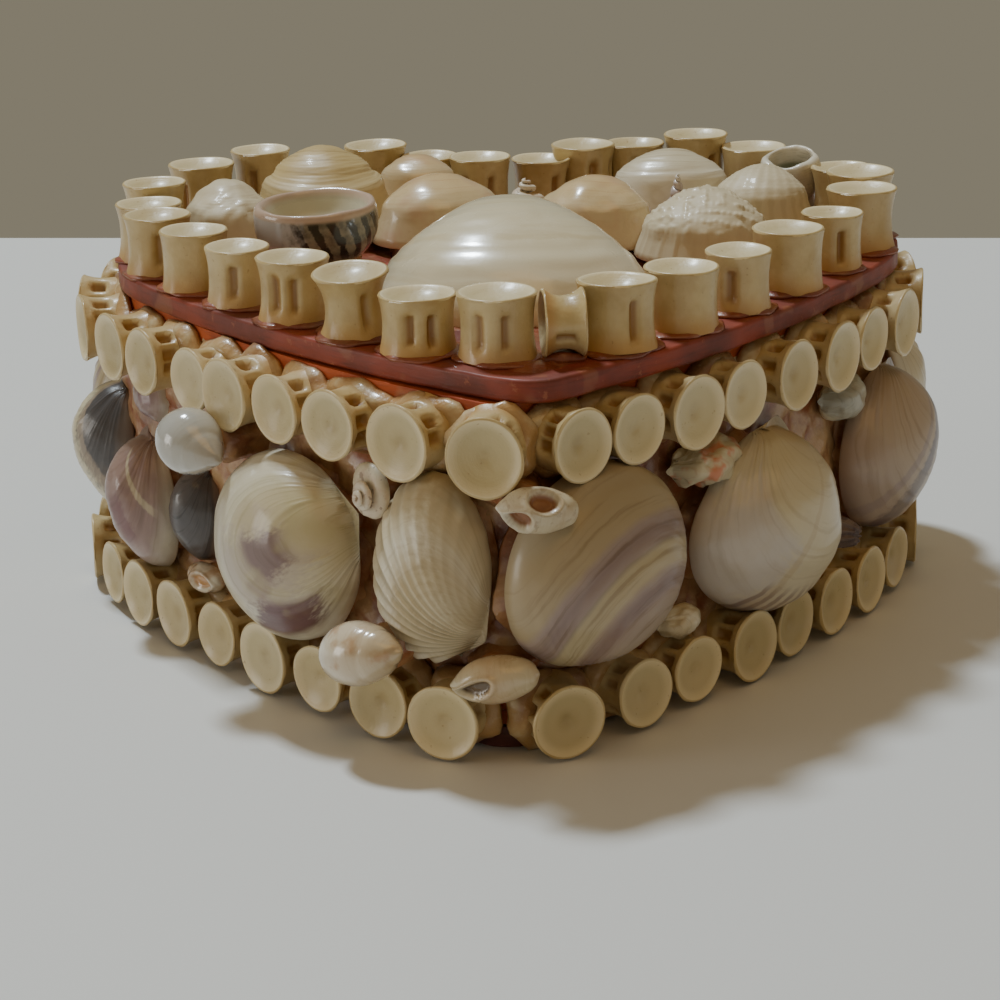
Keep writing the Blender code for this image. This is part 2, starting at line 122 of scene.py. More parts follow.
class Graph:
    """The nodes of one material under construction."""

    def __init__(self, name: str, roughness: float, coat: float = 0.0, coat_roughness: float = 0.08) -> None:
        """Makes the material, with the constants of its shader.

        Args:
            name: the material's name.
            roughness: the shader's roughness, unless something is wired to it.
            coat: the weight of the clear coat.
            coat_roughness: how rough that coat is.
        """
        self.material = bpy.data.materials.new(name)
        self.material.use_nodes = True
        self.tree = self.material.node_tree
        self.shader = self.tree.nodes["Principled BSDF"]
        self.shader.inputs["Roughness"].default_value = roughness
        self.shader.inputs["Coat Weight"].default_value = coat
        self.shader.inputs["Coat Roughness"].default_value = coat_roughness
        self.places = self.node("ShaderNodeTexCoord", output="Object")

    def node(self, kind: str, settings: dict[str, Setting] | None = None,
             sockets: dict[Union[int, str], object] | None = None, output: Union[int, str] = 0) -> Wire:
        """Adds one node of any type.

        Args:
            kind: the node's type name.
            settings: its properties, set before its sockets; stops are a colour ramp's stops.
            sockets: a value or a Wire for each input, by name or number.
            output: which output to hand back.

        Returns:
            The chosen output.
        """
        made = self.tree.nodes.new(kind)
        for key, value in (settings or {}).items():
            if key == "stops":
                self._set_stops(made.color_ramp, value)
            else:
                setattr(made, key, value)
        for key, value in (sockets or {}).items():
            if isinstance(value, Wire):
                self.tree.links.new(value.socket, made.inputs[key])
            else:
                made.inputs[key].default_value = value
        return Wire(self, made.outputs[output])

    @staticmethod
    def _set_stops(ramp: bpy.types.ColorRamp, stops: Sequence[tuple[float, Colour]]) -> None:
        """Puts the stops of a colour ramp in place.

        Args:
            ramp: the ramp to fill.
            stops: a place from 0 to 1 and a colour for each stop.
        """
        while len(ramp.elements) < len(stops):
            ramp.elements.new(0.5)
        for element, (place, colour) in zip(ramp.elements, stops):
            element.position = place
            element.color = (*colour, 1.0)

    def maths(self, operation: str, left: Number, right: Number) -> Wire:
        """Adds a Math node on two numbers or wires."""
        return self.node("ShaderNodeMath", {"operation": operation}, {0: left, 1: right})

    def value(self, name: str) -> Wire:
        """A value that the mesh carries at each point."""
        return self.node("ShaderNodeAttribute", {"attribute_name": name}, output="Fac")

    def ramp(self, at: Wire, stops: Sequence[tuple[float, Colour]]) -> Wire:
        """A colour looked up along a row of stops.

        Args:
            at: where to look, from 0 to 1.
            stops: a place and a colour for each stop.

        Returns:
            The colour.
        """
        return self.node("ShaderNodeValToRGB", {"stops": tuple(stops)}, {0: at})

    def blend(self, mask: Number, below: object, above: object, kind: str = "MIX") -> Wire:
        """Mixes two colours.

        Args:
            mask: how much of the upper colour shows.
            below: the lower colour, a Wire or three numbers.
            above: the upper colour, a Wire or three numbers.
            kind: the way they mix.

        Returns:
            The mixed colour.
        """
        sides = [side if isinstance(side, Wire) else (*side, 1.0) for side in (below, above)]
        return self.node("ShaderNodeMix", {"data_type": "RGBA", "blend_type": kind},
                         {0: mask, 6: sides[0], 7: sides[1]}, output=2)

    def stretched(self, x: Number, y: Number, z: Number) -> Wire:
        """A place put together from three numbers or wires."""
        return self.node("ShaderNodeCombineXYZ", None, {0: x, 1: y, 2: z})

    def noise(self, size: float, at: Wire | None = None, detail: float = 3.0, rough: float = 0.55) -> Wire:
        """Cloudy noise from 0 to 1.

        Args:
            size: the width of a cloud, in millimetres, or in the units of at.
            at: where to read it; the object's own place if left out.
            detail: how many finer layers are added.
            rough: how strong the finer layers are.

        Returns:
            The noise.
        """
        scale = 1 / size if at else 1 / (size * MM)
        return self.node("ShaderNodeTexNoise", None,
                         {"Vector": at or self.places, "Scale": scale, "Detail": detail, "Roughness": rough})

    def done(self, colour: Wire, roughness: Wire | None = None, height: Wire | None = None,
             depth: float = 0.0) -> bpy.types.Material:
        """Wires the shader.

        Args:
            colour: the base colour.
            roughness: the roughness, where it changes over the surface.
            height: a fine relief from 0 to 1, where there is one.
            depth: how deep that relief is, in millimetres.

        Returns:
            The material.
        """
        relief = {"Height": height, "Distance": depth * MM, "Strength": 1.0}
        bump = height and self.node("ShaderNodeBump", None, relief)
        for name, wire in (("Base Color", colour), ("Roughness", roughness), ("Normal", bump)):
            if wire:
                self.tree.links.new(wire.socket, self.shader.inputs[name])
        return self.material


# --- finishes

def shade(colour: Colour, by: float) -> Colour:
    """The colour, darker or lighter by a factor."""
    return tuple(min(part * by, 1.0) for part in colour)


class Finish:
    """A finish that makes its material once."""

    name: str
    _made: dict[str, bpy.types.Material] = {}

    def material(self) -> bpy.types.Material:
        """The finish's material, made when it is first asked for."""
        if self.name not in Finish._made:
            Finish._made[self.name] = self.paint()
        return Finish._made[self.name]

    def paint(self) -> bpy.types.Material:
        """Builds the material."""
        raise NotImplementedError


@dataclass(frozen=True)
class BoneFinish(Finish):
    """Dry fish bone: ivory, amber towards the glue, with pale rims and dull dished ends; its slots are amber,
    partly the bone's own colour and partly painted shade.
    """

    name: str = "fish_bone"
    ivory: Colour = (0.64, 0.50, 0.26)
    side: Colour = (0.53, 0.38, 0.16)
    amber: Colour = (0.34, 0.17, 0.04)
    face: Colour = (0.56, 0.455, 0.24)
    dimple: Colour = (0.45, 0.345, 0.165)
    rim: Colour = (0.80, 0.67, 0.41)

    def paint(self) -> bpy.types.Material:
        """Builds the bone's material from what its mesh carries.

        Returns:
            The material.
        """
        graph = Graph(self.name, 0.36, coat=0.25, coat_roughness=0.2)
        dish, slot = graph.value("dish"), graph.value("slot")
        tone, up = graph.value("tone"), graph.value("up")
        clouds = graph.noise(5.0)
        fibres = graph.noise(1.1, detail=4.0)
        side = graph.blend(clouds.fade(0.35, 0.7), self.ivory, self.side)
        side = graph.blend(up.fade(0.45, 0.0) * 0.75, side, shade(self.amber, 1.5))
        # The slots are darkened to amber by their depth: partly the bone's own colour, partly painted shade
        # in the hollows.
        side = graph.blend(slot.fade(0.15, 0.8), side, self.amber)
        face = graph.blend(dish.fade(0.02, 0.35), self.rim, self.face)
        face = graph.blend(dish.fade(0.55, 0.95) * clouds.fade(0.25, 0.6), face, self.dimple)
        rings = graph.noise(1.0, graph.stretched(dish * 22, tone * 9, 0.0), detail=2.0)
        face = graph.blend((rings - 0.5).fade(0.0, 0.3) * 0.14, face, shade(self.face, 0.8))
        body = graph.blend(dish.fade(0.005, 0.02), side, face)
        body = graph.blend(tone.fade(0.5, 1.0) * 0.3, body, shade(self.side, 0.95))
        body = graph.blend((1 - tone).fade(0.5, 1.0) * 0.3, body, self.rim)
        specks = graph.noise(0.7, detail=1.0).fade(0.70, 0.78) * 0.35
        body = graph.blend(specks, body, shade(self.amber, 0.8))
        return graph.done(body, 0.30 + clouds * 0.18 + dish.fade(0.1, 0.5) * 0.1,
                          fibres + rings * dish.fade(0.01, 0.1) * 0.3, 0.10)


@dataclass(frozen=True)
class Ray:
    """A stripe that runs from a shell's beak to its free edge, between two ages."""

    at: float
    half_width: float
    colour: Colour
    strength: float = 1.0
    young: float = 0.0
    old: float = 1.1


@dataclass(frozen=True)
class ShellFinish(Finish):
    """A sea shell's colours along its age: rays, blotches, specks, fine growth lines, a gloss, and painted
    shade in its rib valleys and mouths.
    """

    name: str
    bands: tuple[tuple[float, Colour], ...]
    rays: tuple[Ray, ...] = ()
    blotch: Colour = (0.5, 0.4, 0.25)
    blotched: float = 0.2
    blotch_size: float = 6.0
    speck: Colour = (0.2, 0.1, 0.06)
    specked: float = 0.0
    lines: float = 0.35
    line_count: float = 34.0
    # The colour inside mouths, holes and hollows: the shell's own colour there, with painted shade.
    inner_colour_and_shade: Colour = (0.55, 0.30, 0.13)
    # The colour of painted shade in the rib valleys, also the base of the real grime.
    valley_shade_and_grime: Colour = (0.36, 0.25, 0.13)
    gloss: float = 0.3
    roughness: float = 0.34
    wander: float = 0.03
    bump: float = 0.05

    def paint(self) -> bpy.types.Material:
        """Builds the shell's material from what its mesh carries.

        Returns:
            The material.
        """
        graph = Graph(self.name, self.roughness, coat=self.gloss, coat_roughness=0.12)
        growth, fan = graph.value("growth"), graph.value("fan")
        relief, inside = graph.value("relief"), graph.value("inside")
        clouds = graph.noise(self.blotch_size)
        age = growth + (clouds - 0.5) * (2 * self.wander)
        body = graph.ramp(age, self.bands)
        for ray in self.rays:
            body = graph.blend(self._ray(graph, ray, age, fan), body, ray.colour)
        streaks = graph.noise(1.0, graph.stretched(age * self.line_count, fan * 1.6, 0.3), detail=3.0)
        body = graph.blend(streaks.fade(0.5, 0.72) * self.lines, body, self.blotch, "MULTIPLY")
        body = graph.blend(clouds.fade(0.5, 0.68) * self.blotched, body, self.blotch)
        if self.specked:
            specks = graph.noise(1.3, detail=2.0).fade(0.60, 0.66) * self.specked
            body = graph.blend(specks, body, self.speck)
        # Painted shade: the valleys between ribs and grains are darkened towards this colour.
        body = graph.blend(relief.fade(0.0, -0.9) * 0.65, body, self.valley_shade_and_grime)
        # The insides of mouths, holes and hollows take this colour: the shell's own colour there and painted
        # shade deeper in.
        body = graph.blend(inside.fade(0.2, 0.8), body, self.inner_colour_and_shade)
        grime = graph.noise(9.0, detail=4.0).fade(0.55, 0.75) * 0.22
        body = graph.blend(grime, body, shade(self.valley_shade_and_grime, 1.1))
        return graph.done(body, self.roughness - 0.06 + clouds * 0.16,
                          streaks * 0.8 + graph.noise(0.8) * 0.4, self.bump)

    @staticmethod
    def _ray(graph: Graph, ray: Ray, age: Wire, fan: Wire) -> Wire:
        """The mask of one ray.

        Args:
            graph: the material's nodes.
            ray: the stripe.
            age: how old each place is, 0 at the beak.
            fan: the direction of each place from the beak.

        Returns:
            The mask, from 0 to 1.
        """
        frayed = graph.noise(1.0, graph.stretched(age * 30, fan * 22, ray.at * 7), detail=2.0) - 0.5
        across = abs(fan + frayed * (ray.half_width * 0.9) - ray.at)
        mask = across.fade(ray.half_width, ray.half_width * 0.45) * ray.strength
        return mask * age.fade(ray.young - 0.05, ray.young + 0.05) * age.fade(ray.old + 0.05, ray.old - 0.05)


@dataclass(frozen=True)
class StripedFinish(Finish):
    """A glossy nerite: short black bars under a pinkish lip, an olive mouth, and a left side painted pale,
    partly worn shell and partly a painted highlight.
    """

    name: str = "striped_nerite"
    grey: Colour = (0.27, 0.235, 0.17)
    black: Colour = (0.03, 0.026, 0.02)
    lip: Colour = (0.50, 0.36, 0.27)
    rim: Colour = (0.60, 0.56, 0.41)
    mouth: Colour = (0.30, 0.19, 0.055)
    # The pale left side's colour: partly worn shell, partly a painted highlight.
    worn: Colour = (0.58, 0.55, 0.53)

    def paint(self) -> bpy.types.Material:
        """Builds the nerite's material.

        Returns:
            The material.
        """
        graph = Graph(self.name, 0.18, coat=0.45, coat_roughness=0.08)
        stripe, growth, side = graph.value("stripe"), graph.value("growth"), graph.value("fan")
        mouth = graph.value("mouth")
        torn = graph.noise(1.8, detail=3.0)
        clouds = graph.noise(6.0)
        outside = graph.blend(torn.fade(0.35, 0.7), self.grey, shade(self.grey, 0.45))
        bars = (stripe + (torn - 0.5) * 1.6).fade(-0.2, 0.25)
        bars = bars * growth.fade(0.88, 0.80) * growth.fade(0.05, 0.3)
        outside = graph.blend(bars, outside, self.black)
        # The left side is painted pale: partly worn shell, partly a painted highlight.
        pale = graph.blend(clouds, self.worn, shade(self.worn, 0.7))
        outside = graph.blend((side + (torn - 0.5) * 0.8).fade(-0.15, -0.55), outside, pale)
        lip = graph.blend(torn, self.lip, shade(self.lip, 1.2))
        outside = graph.blend(growth.fade(0.83, 0.90), outside, lip)
        body = graph.blend(mouth.fade(0.02, 0.2), outside, self.rim)
        body = graph.blend(mouth.fade(0.25, 0.8), body, graph.blend(clouds * 0.35, self.mouth, self.rim))
        return graph.done(body, mouth.fade(0.1, 0.5) * 0.45 + torn * 0.16 + 0.14, torn, 0.04)


@dataclass(frozen=True)
class BoardFinish(Finish):
    """Thin board under one coat of stain or paint, scuffed along its edges, with runs of glue on it.

    grain is how often its streaks repeat along each axis, in a metre.
    """

    name: str
    paint_colour: Colour
    deep: Colour
    worn: Colour
    glue: Colour
    glued: float = 0.25
    roughness: float = 0.45
    grain: Place = (150.0, 150.0, 1400.0)

    def paint(self) -> bpy.types.Material:
        """Builds the board's material.

        Returns:
            The material.
        """
        graph = Graph(self.name, self.roughness, coat=0.15, coat_roughness=0.3)
        clouds = graph.noise(14.0, detail=4.0)
        grain = graph.noise(1.0, graph.node("ShaderNodeVectorMath", {"operation": "MULTIPLY"},
                                            {0: graph.places, 1: self.grain}), detail=5.0, rough=0.6)
        body = graph.blend(clouds.fade(0.3, 0.7), self.paint_colour, self.deep)
        body = graph.blend(grain.fade(0.45, 0.75) * 0.55, body, shade(self.deep, 0.6))
        scuffs = graph.noise(2.2, detail=5.0, rough=0.7)
        body = graph.blend(scuffs.fade(0.60, 0.70) * 0.7, body, self.worn)
        runs = graph.noise(8.0, detail=2.0).fade(0.60, 0.66)
        body = graph.blend(runs * self.glued, body, self.glue)
        return graph.done(body, self.roughness + scuffs * 0.25 - runs * (0.2 * self.glued),
                          grain * 0.7 + scuffs * 0.6, 0.12)


@dataclass(frozen=True)
class GlueFinish(Finish):
    """Old amber glue: clear and dark where it is thin over the stained board, milky where it is thick."""

    name: str
    thin: Colour
    thick: Colour
    dark: Colour
    roughness: float = 0.28

    def paint(self) -> bpy.types.Material:
        """Builds the glue's material.

        Returns:
            The material.
        """
        graph = Graph(self.name, self.roughness, coat=0.5, coat_roughness=0.15)
        clouds = graph.noise(5.0, detail=3.0)
        strings = graph.noise(1.4, detail=3.0)
        body = graph.blend((clouds + graph.value("glue") * 0.25).fade(0.45, 0.75), self.thin, self.thick)
        body = graph.blend(graph.noise(11.0).fade(0.48, 0.66) * 0.8, body, self.dark)
        return graph.done(graph.blend(strings.fade(0.6, 0.75) * 0.4, body, self.thick),
                          self.roughness + strings * 0.25, strings + clouds, 0.25)


@dataclass(frozen=True)
class PlainFinish(Finish):
    """A plain matt surface for the studio, with the faintest cloudiness."""

    name: str
    tint: Colour
    roughness: float = 0.6

    def paint(self) -> bpy.types.Material:
        """Builds the plain material."""
        graph = Graph(self.name, self.roughness)
        return graph.done(graph.blend(graph.noise(60.0) * 0.5, self.tint, shade(self.tint, 0.97)))


# --- meshes

def ripple(points: np.ndarray, wavelength: float, seed: int, octaves: int = 3) -> np.ndarray:
    """Smooth irregularity made of crossing waves, the same on every run.

    Args:
        points: places, one in each row of the last axis.
        wavelength: the longest wave.
        seed: which irregularity it is.
        octaves: how many times the waves are halved.

    Returns:
        About -1 to 1 at each place.
    """
    draw = np.random.default_rng(seed)
    total = np.zeros(points.shape[:-1])
    for octave in range(octaves):
        share = 0.5 ** octave
        for _ in range(4):
            direction = draw.normal(size=points.shape[-1])
            direction *= TAU / (wavelength * share * draw.uniform(0.8, 1.3) * np.linalg.norm(direction))
            total += share * np.sin(points @ direction + draw.uniform(0, TAU))
    return total / (2.2 * (2 - 0.5 ** (octaves - 1)))


def smooth(at: np.ndarray, none: float, full: float) -> np.ndarray:
    """A smooth step from 0 at none to 1 at full."""
    share = np.clip((at - none) / (full - none), 0.0, 1.0)
    return share * share * (3 - 2 * share)


def turns(sides: int) -> np.ndarray:
    """The angles of a ring's points, in radians."""
    return np.arange(sides) * TAU / sides


def mix(first: np.ndarray, second: np.ndarray, share: float) -> np.ndarray:
    """A blend of two arrays: the first at share 0, the second at share 1."""
    return first * (1 - share) + second * share


def turned_away(angles: np.ndarray, centre: float) -> np.ndarray:
    """How far angles in radians lie from one given in degrees, going the short way round."""
    return np.abs((angles - math.radians(centre) + math.pi) % TAU - math.pi)


def unit(vectors: np.ndarray) -> np.ndarray:
    """Vectors brought to length 1."""
    return vectors / np.maximum(np.linalg.norm(vectors, axis=-1, keepdims=True), 1e-9)


def normals_of(grid: np.ndarray, towards: np.ndarray) -> np.ndarray:
    """Unit normals of a grid of rings, each of them closed.

    Args:
        grid: points as rings x places round x 3.
        towards: directions, at each point, that the normals follow rather than oppose.

    Returns:
        A unit normal at each point.
    """
    around = np.roll(grid, -1, axis=1) - np.roll(grid, 1, axis=1)
    normal = unit(np.cross(around, np.gradient(grid, axis=0)))
    return -normal if (normal * towards).sum() < 0 else normal


def placed(name: str, data: bpy.types.ID) -> bpy.types.Object:
    """A new object in the scene, of a mesh, a light or a camera."""
    made = bpy.data.objects.new(name, data)
    bpy.context.scene.collection.objects.link(made)
    return made


@dataclass
class Skin:
    """A mesh in the making, in millimetres, with a finish number for each face and values at its points.

    Faces are rows of four point numbers. A triangle has one number twice, at the row's end or, turned round,
    at its start.
    """

    points: np.ndarray
    faces: np.ndarray
    finish: np.ndarray
    values: Values = field(default_factory=dict)

    @classmethod
    def from_rings(cls, grid: np.ndarray, values: Values | None = None, finish: int = 0) -> Skin:
        """A skin through closed rings, with both ends closed over.

        Args:
            grid: points as rings x places round x 3.
            values: for each name, a value at each point of the grid.
            finish: the number of its finish.

        Returns:
            The skin, its faces turned outwards.
        """
        rings, sides = grid.shape[:2]
        count = rings * sides
        index = np.arange(count).reshape(rings, sides)
        after = np.roll(index, -1, axis=1)
        faces = [np.stack([index[:-1], after[:-1], after[1:], index[1:]], axis=-1).reshape(-1, 4)]
        for middle, ring, way in ((count, 0, -1), (count + 1, -1, 1)):
            ends = np.stack([index[ring], after[ring]], axis=-1)[:, ::way]
            faces.append(np.column_stack([ends, np.full((sides, 2), middle)]))
        faces = np.concatenate(faces)
        ends = grid[[0, -1]].mean(axis=1)
        filled = {}
        for name, value in (values or {}).items():
            value = np.broadcast_to(value, (rings, sides))
            filled[name] = np.concatenate([value.reshape(-1), value[[0, -1]].mean(axis=1)])
        skin = cls(np.concatenate([grid.reshape(-1, 3), ends]), faces, np.full(len(faces), finish), filled)
        return skin.flipped() if skin.volume() < 0 else skin

    @classmethod
    def sheet(cls, grid: np.ndarray, outward: np.ndarray, thick: np.ndarray) -> Skin:
        """An open sheet of glue.

        Args:
            grid: points as rows x columns x 3.
            outward: a direction that its middle faces.
            thick: how thick the glue is at each point, from 0 to 1.

        Returns:
            The sheet.
        """
        rows, columns = grid.shape[:2]
        index = np.arange(rows * columns).reshape(rows, columns)
        faces = np.stack([index[:-1, :-1], index[:-1, 1:], index[1:, 1:], index[1:, :-1]], axis=-1)
        faces = faces.reshape(-1, 4)
        skin = cls(grid.reshape(-1, 3), faces, np.zeros(len(faces), int), {"glue": thick.reshape(-1)})
        a, b, c = skin.points[faces[len(faces) // 2, :3]]
        return skin.flipped() if np.dot(np.cross(b - a, c - a), outward) < 0 else skin

    @classmethod
    def joined(cls, skins: Sequence[Skin]) -> Skin:
        """Several skins as one.

        Args:
            skins: the skins, each with its own values.

        Returns:
            One skin; a value that one of them lacks is 0 there.
        """
        starts = np.cumsum([0] + [len(skin.points) for skin in skins])
        values = {name: np.concatenate([skin.values.get(name, np.zeros(len(skin.points))) for skin in skins])
                  for name in sorted({name for skin in skins for name in skin.values})}
        return cls(np.concatenate([skin.points for skin in skins]),
                   np.concatenate([skin.faces + start for skin, start in zip(skins, starts)]),
                   np.concatenate([skin.finish for skin in skins]), values)

    def volume(self) -> float:
        """Six times the volume inside, below 0 when the faces look inwards."""
        a, b, c, d = (self.points[self.faces[:, k]] for k in range(4))
        return float((a * (np.cross(b, c) + np.cross(c, d))).sum())

    def flipped(self) -> Skin:
        """The same skin with its faces turned round."""
        self.faces = self.faces[:, ::-1]
        return self

    def moved(self, matrix: Matrix) -> Skin:
        """The skin moved, turned or scaled."""
        change = np.array(matrix)
        self.points = self.points @ change[:3, :3].T + change[:3, 3]
        return self

    def stood(self) -> Skin:
        """The skin with its lowest point at Z = 0."""
        return self.moved(Matrix.Translation((0, 0, -self.points[:, 2].min())))

    def above_floor(self) -> Skin:
        """The skin with nothing under the floor."""
        self.points[:, 2] = np.maximum(self.points[:, 2], FLOOR_GAP)
        return self

    def with_value(self, name: str, value: float) -> Skin:
        """The skin with the same value at all its points."""
        self.values[name] = np.full(len(self.points), value)
        return self

    def piece(self, name: str, finishes: Sequence[Finish], slot: str,
              nodes: Sequence[str]) -> bpy.types.Object:
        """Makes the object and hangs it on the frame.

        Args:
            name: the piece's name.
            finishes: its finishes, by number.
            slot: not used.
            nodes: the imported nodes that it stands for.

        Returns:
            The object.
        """
        mesh = bpy.data.meshes.new(name)
        mesh.vertices.add(len(self.points))
        mesh.vertices.foreach_set("co", (self.points * MM).astype(np.float32).ravel())
        kept = np.ones(self.faces.shape, bool)
        kept[:, 0] = self.faces[:, 0] != self.faces[:, 1]
        kept[:, 3] = self.faces[:, 2] != self.faces[:, 3]
        corners = self.faces[kept]
        mesh.loops.add(len(corners))
        mesh.loops.foreach_set("vertex_index", corners.astype(np.int32))
        sizes = kept.sum(axis=1)
        mesh.polygons.add(len(sizes))
        mesh.polygons.foreach_set("loop_start", (np.cumsum(sizes) - sizes).astype(np.int32))
        mesh.update(calc_edges=True)
        mesh.polygons.foreach_set("material_index", self.finish.astype(np.int32))
        for key, value in self.values.items():
            layer = mesh.attributes.new(key, "FLOAT", "POINT")
            layer.data.foreach_set("value", value.astype(np.float32))
        mesh.validate()
        mesh.shade_smooth()
        for finish in finishes:
            mesh.materials.append(finish.material())
        made = placed(name, mesh)
        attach(made, BODY)
        if nodes:
            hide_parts(*nodes)
        LOG.info("%s: %d faces", name, len(mesh.polygons))
        return made


# --- the box's layout

@dataclass(frozen=True)
class Arc:
    """One arc of the heart's right half. side is 1 where the heart bulges and -1 in the notch."""

    centre: Vector
    radius: float
    first: float
    last: float
    side: int

    def length(self) -> float:
        """The arc's length."""
        return self.radius * abs(self.last - self.first)

    def at(self, share: float, out: float) -> tuple[Vector, Vector]:
        """A point out from the arc, and the outward direction there.

        Args:
            share: how far along the arc, from 0 to 1.
            out: how far out from it.

        Returns:
            The point and the direction.
        """
        angle = self.first + share * (self.last - self.first)
        ray = Vector((math.cos(angle), math.sin(angle)))
        return self.centre + ray * (self.radius + self.side * out), ray * self.side


@dataclass(frozen=True)
class Layout:
    """The heart and the heights that every piece is placed by."""

    half_width: float = 65.0
    lobe_radius: float = 37.6
    lobe_line: float = 24.1
    point_y: float = -61.6
    point_radius: float = 6.0
    side_radius: float = 223.0
    notch_radius: float = 3.0
    wall_top: float = 53.5
    gap: float = 0.3
    lid_thick: float = 3.5
    lid_overhang: float = 1.0
    lid_turn: float = math.radians(2.7)
    lid_shift: tuple[float, float] = (1.7, -0.3)
    lid_stretch: float = 1.035

    @property
    def lid_top(self) -> float:
        """The height of the lid board's top."""
        return self.wall_top + self.gap + self.lid_thick

    @property
    def lid_pose(self) -> Matrix:
        """How the lid lies, slightly askew."""
        return Matrix.Translation((*self.lid_shift, 0)) @ Matrix.Rotation(self.lid_turn, 4, "Z")

    def arcs(self) -> tuple[Arc, ...]:
        """The right half of the wall's outline, from the point to the notch, as tangent arcs."""
        lobe = Vector((self.half_width - self.lobe_radius, self.lobe_line))
        point = Vector((0.0, self.point_y + self.point_radius))
        to_lobe, to_point = self.side_radius - self.lobe_radius, self.side_radius - self.point_radius
        apart = (lobe - point).length
        ahead = (apart ** 2 + to_point ** 2 - to_lobe ** 2) / (2 * apart)
        axis = (lobe - point) / apart
        side = point + axis * ahead + Vector((-axis.y, axis.x)) * math.sqrt(to_point ** 2 - ahead ** 2)
        reach = self.lobe_radius + self.notch_radius
        notch = Vector((0.0, lobe.y + math.sqrt(reach ** 2 - lobe.x ** 2)))
        leave_point = math.atan2(*(point - side).yx)
        reach_lobe = math.atan2(*(lobe - side).yx)
        leave_lobe = math.atan2(*(notch - lobe).yx)
        return (Arc(point, self.point_radius, -math.pi / 2, leave_point, 1),
                Arc(side, self.side_radius, leave_point, reach_lobe, 1),
                Arc(lobe, self.lobe_radius, reach_lobe, leave_lobe, 1),
                Arc(notch, self.notch_radius, leave_lobe - math.pi, -math.pi / 2, -1))

    def half_round(self) -> float:
        """The distance round the wall from the point to the notch."""
        return sum(arc.length() for arc in self.arcs())

    def on_wall(self, station: float, out: float = 0.0) -> tuple[Vector, Vector]:
        """A point out from the wall, and the wall's outward direction there.

        Args:
            station: the place round the wall.
            out: how far out from it.

        Returns:
            The point and the direction, both in plan.
        """
        left = abs(station)
        arcs = self.arcs()
        for arc in arcs[:-1]:
            if left <= arc.length():
                break
            left -= arc.length()
        else:
            arc = arcs[-1]
        point, outward = arc.at(min(left / arc.length(), 1.0), out)
        flip = -1 if station < 0 else 1
        return Vector((point.x * flip, point.y)), Vector((outward.x * flip, outward.y))

    def on_lid(self, station: float, out: float = 0.0) -> tuple[Vector, Vector]:
        """The same on the lid, which was cut a little wider on its right side."""
        point, outward = self.on_wall(station, out)
        return Vector((point.x * (self.lid_stretch if point.x > 0 else 1.0), point.y)), outward

    def wall_place(self, station: float, height: float, out: float,
                   yaw: float = 0.0, nod: float = 0.0, turn: float = 0.0) -> Matrix:
        """A frame on the wall: +X along it, +Y up, +Z outwards; then yawed, nodded and turned, in degrees."""
        point, outward = self.on_wall(station, out)
        axes = Matrix((Vector((-outward.y, outward.x, 0)), Vector((0, 0, 1)), outward.to_3d()))
        seat = Matrix.Translation((point.x, point.y, height)) @ axes.transposed().to_4x4()
        return seat @ spin(yaw, "Y") @ spin(nod, "X") @ spin(turn, "Z")

    def lid_place(self, x: float, y: float, lift: float,
                  yaw: float = 0.0, nod: float = 0.0, turn: float = 0.0) -> Matrix:
        """A frame on the lid: +Y to its back and +Z up, then yawed, nodded and turned, in degrees."""
        seat = self.lid_pose @ Matrix.Translation((x, y, self.lid_top + lift))
        return seat @ spin(yaw, "Y") @ spin(nod, "X") @ spin(turn, "Z")


def spin(angle: float, axis: str) -> Matrix:
    """A turn in degrees about an axis."""
    return Matrix.Rotation(math.radians(angle), 4, axis)


LAYOUT = Layout()


# --- fish vertebrae

@dataclass(frozen=True)
class Slot:
    """A hollow between two struts on a vertebra's side, by its angle in degrees and shares of the length."""

    angle: float
    half_width: float = 11.0
    low: float = 0.22
    high: float = 0.80
    depth: float = 1.15


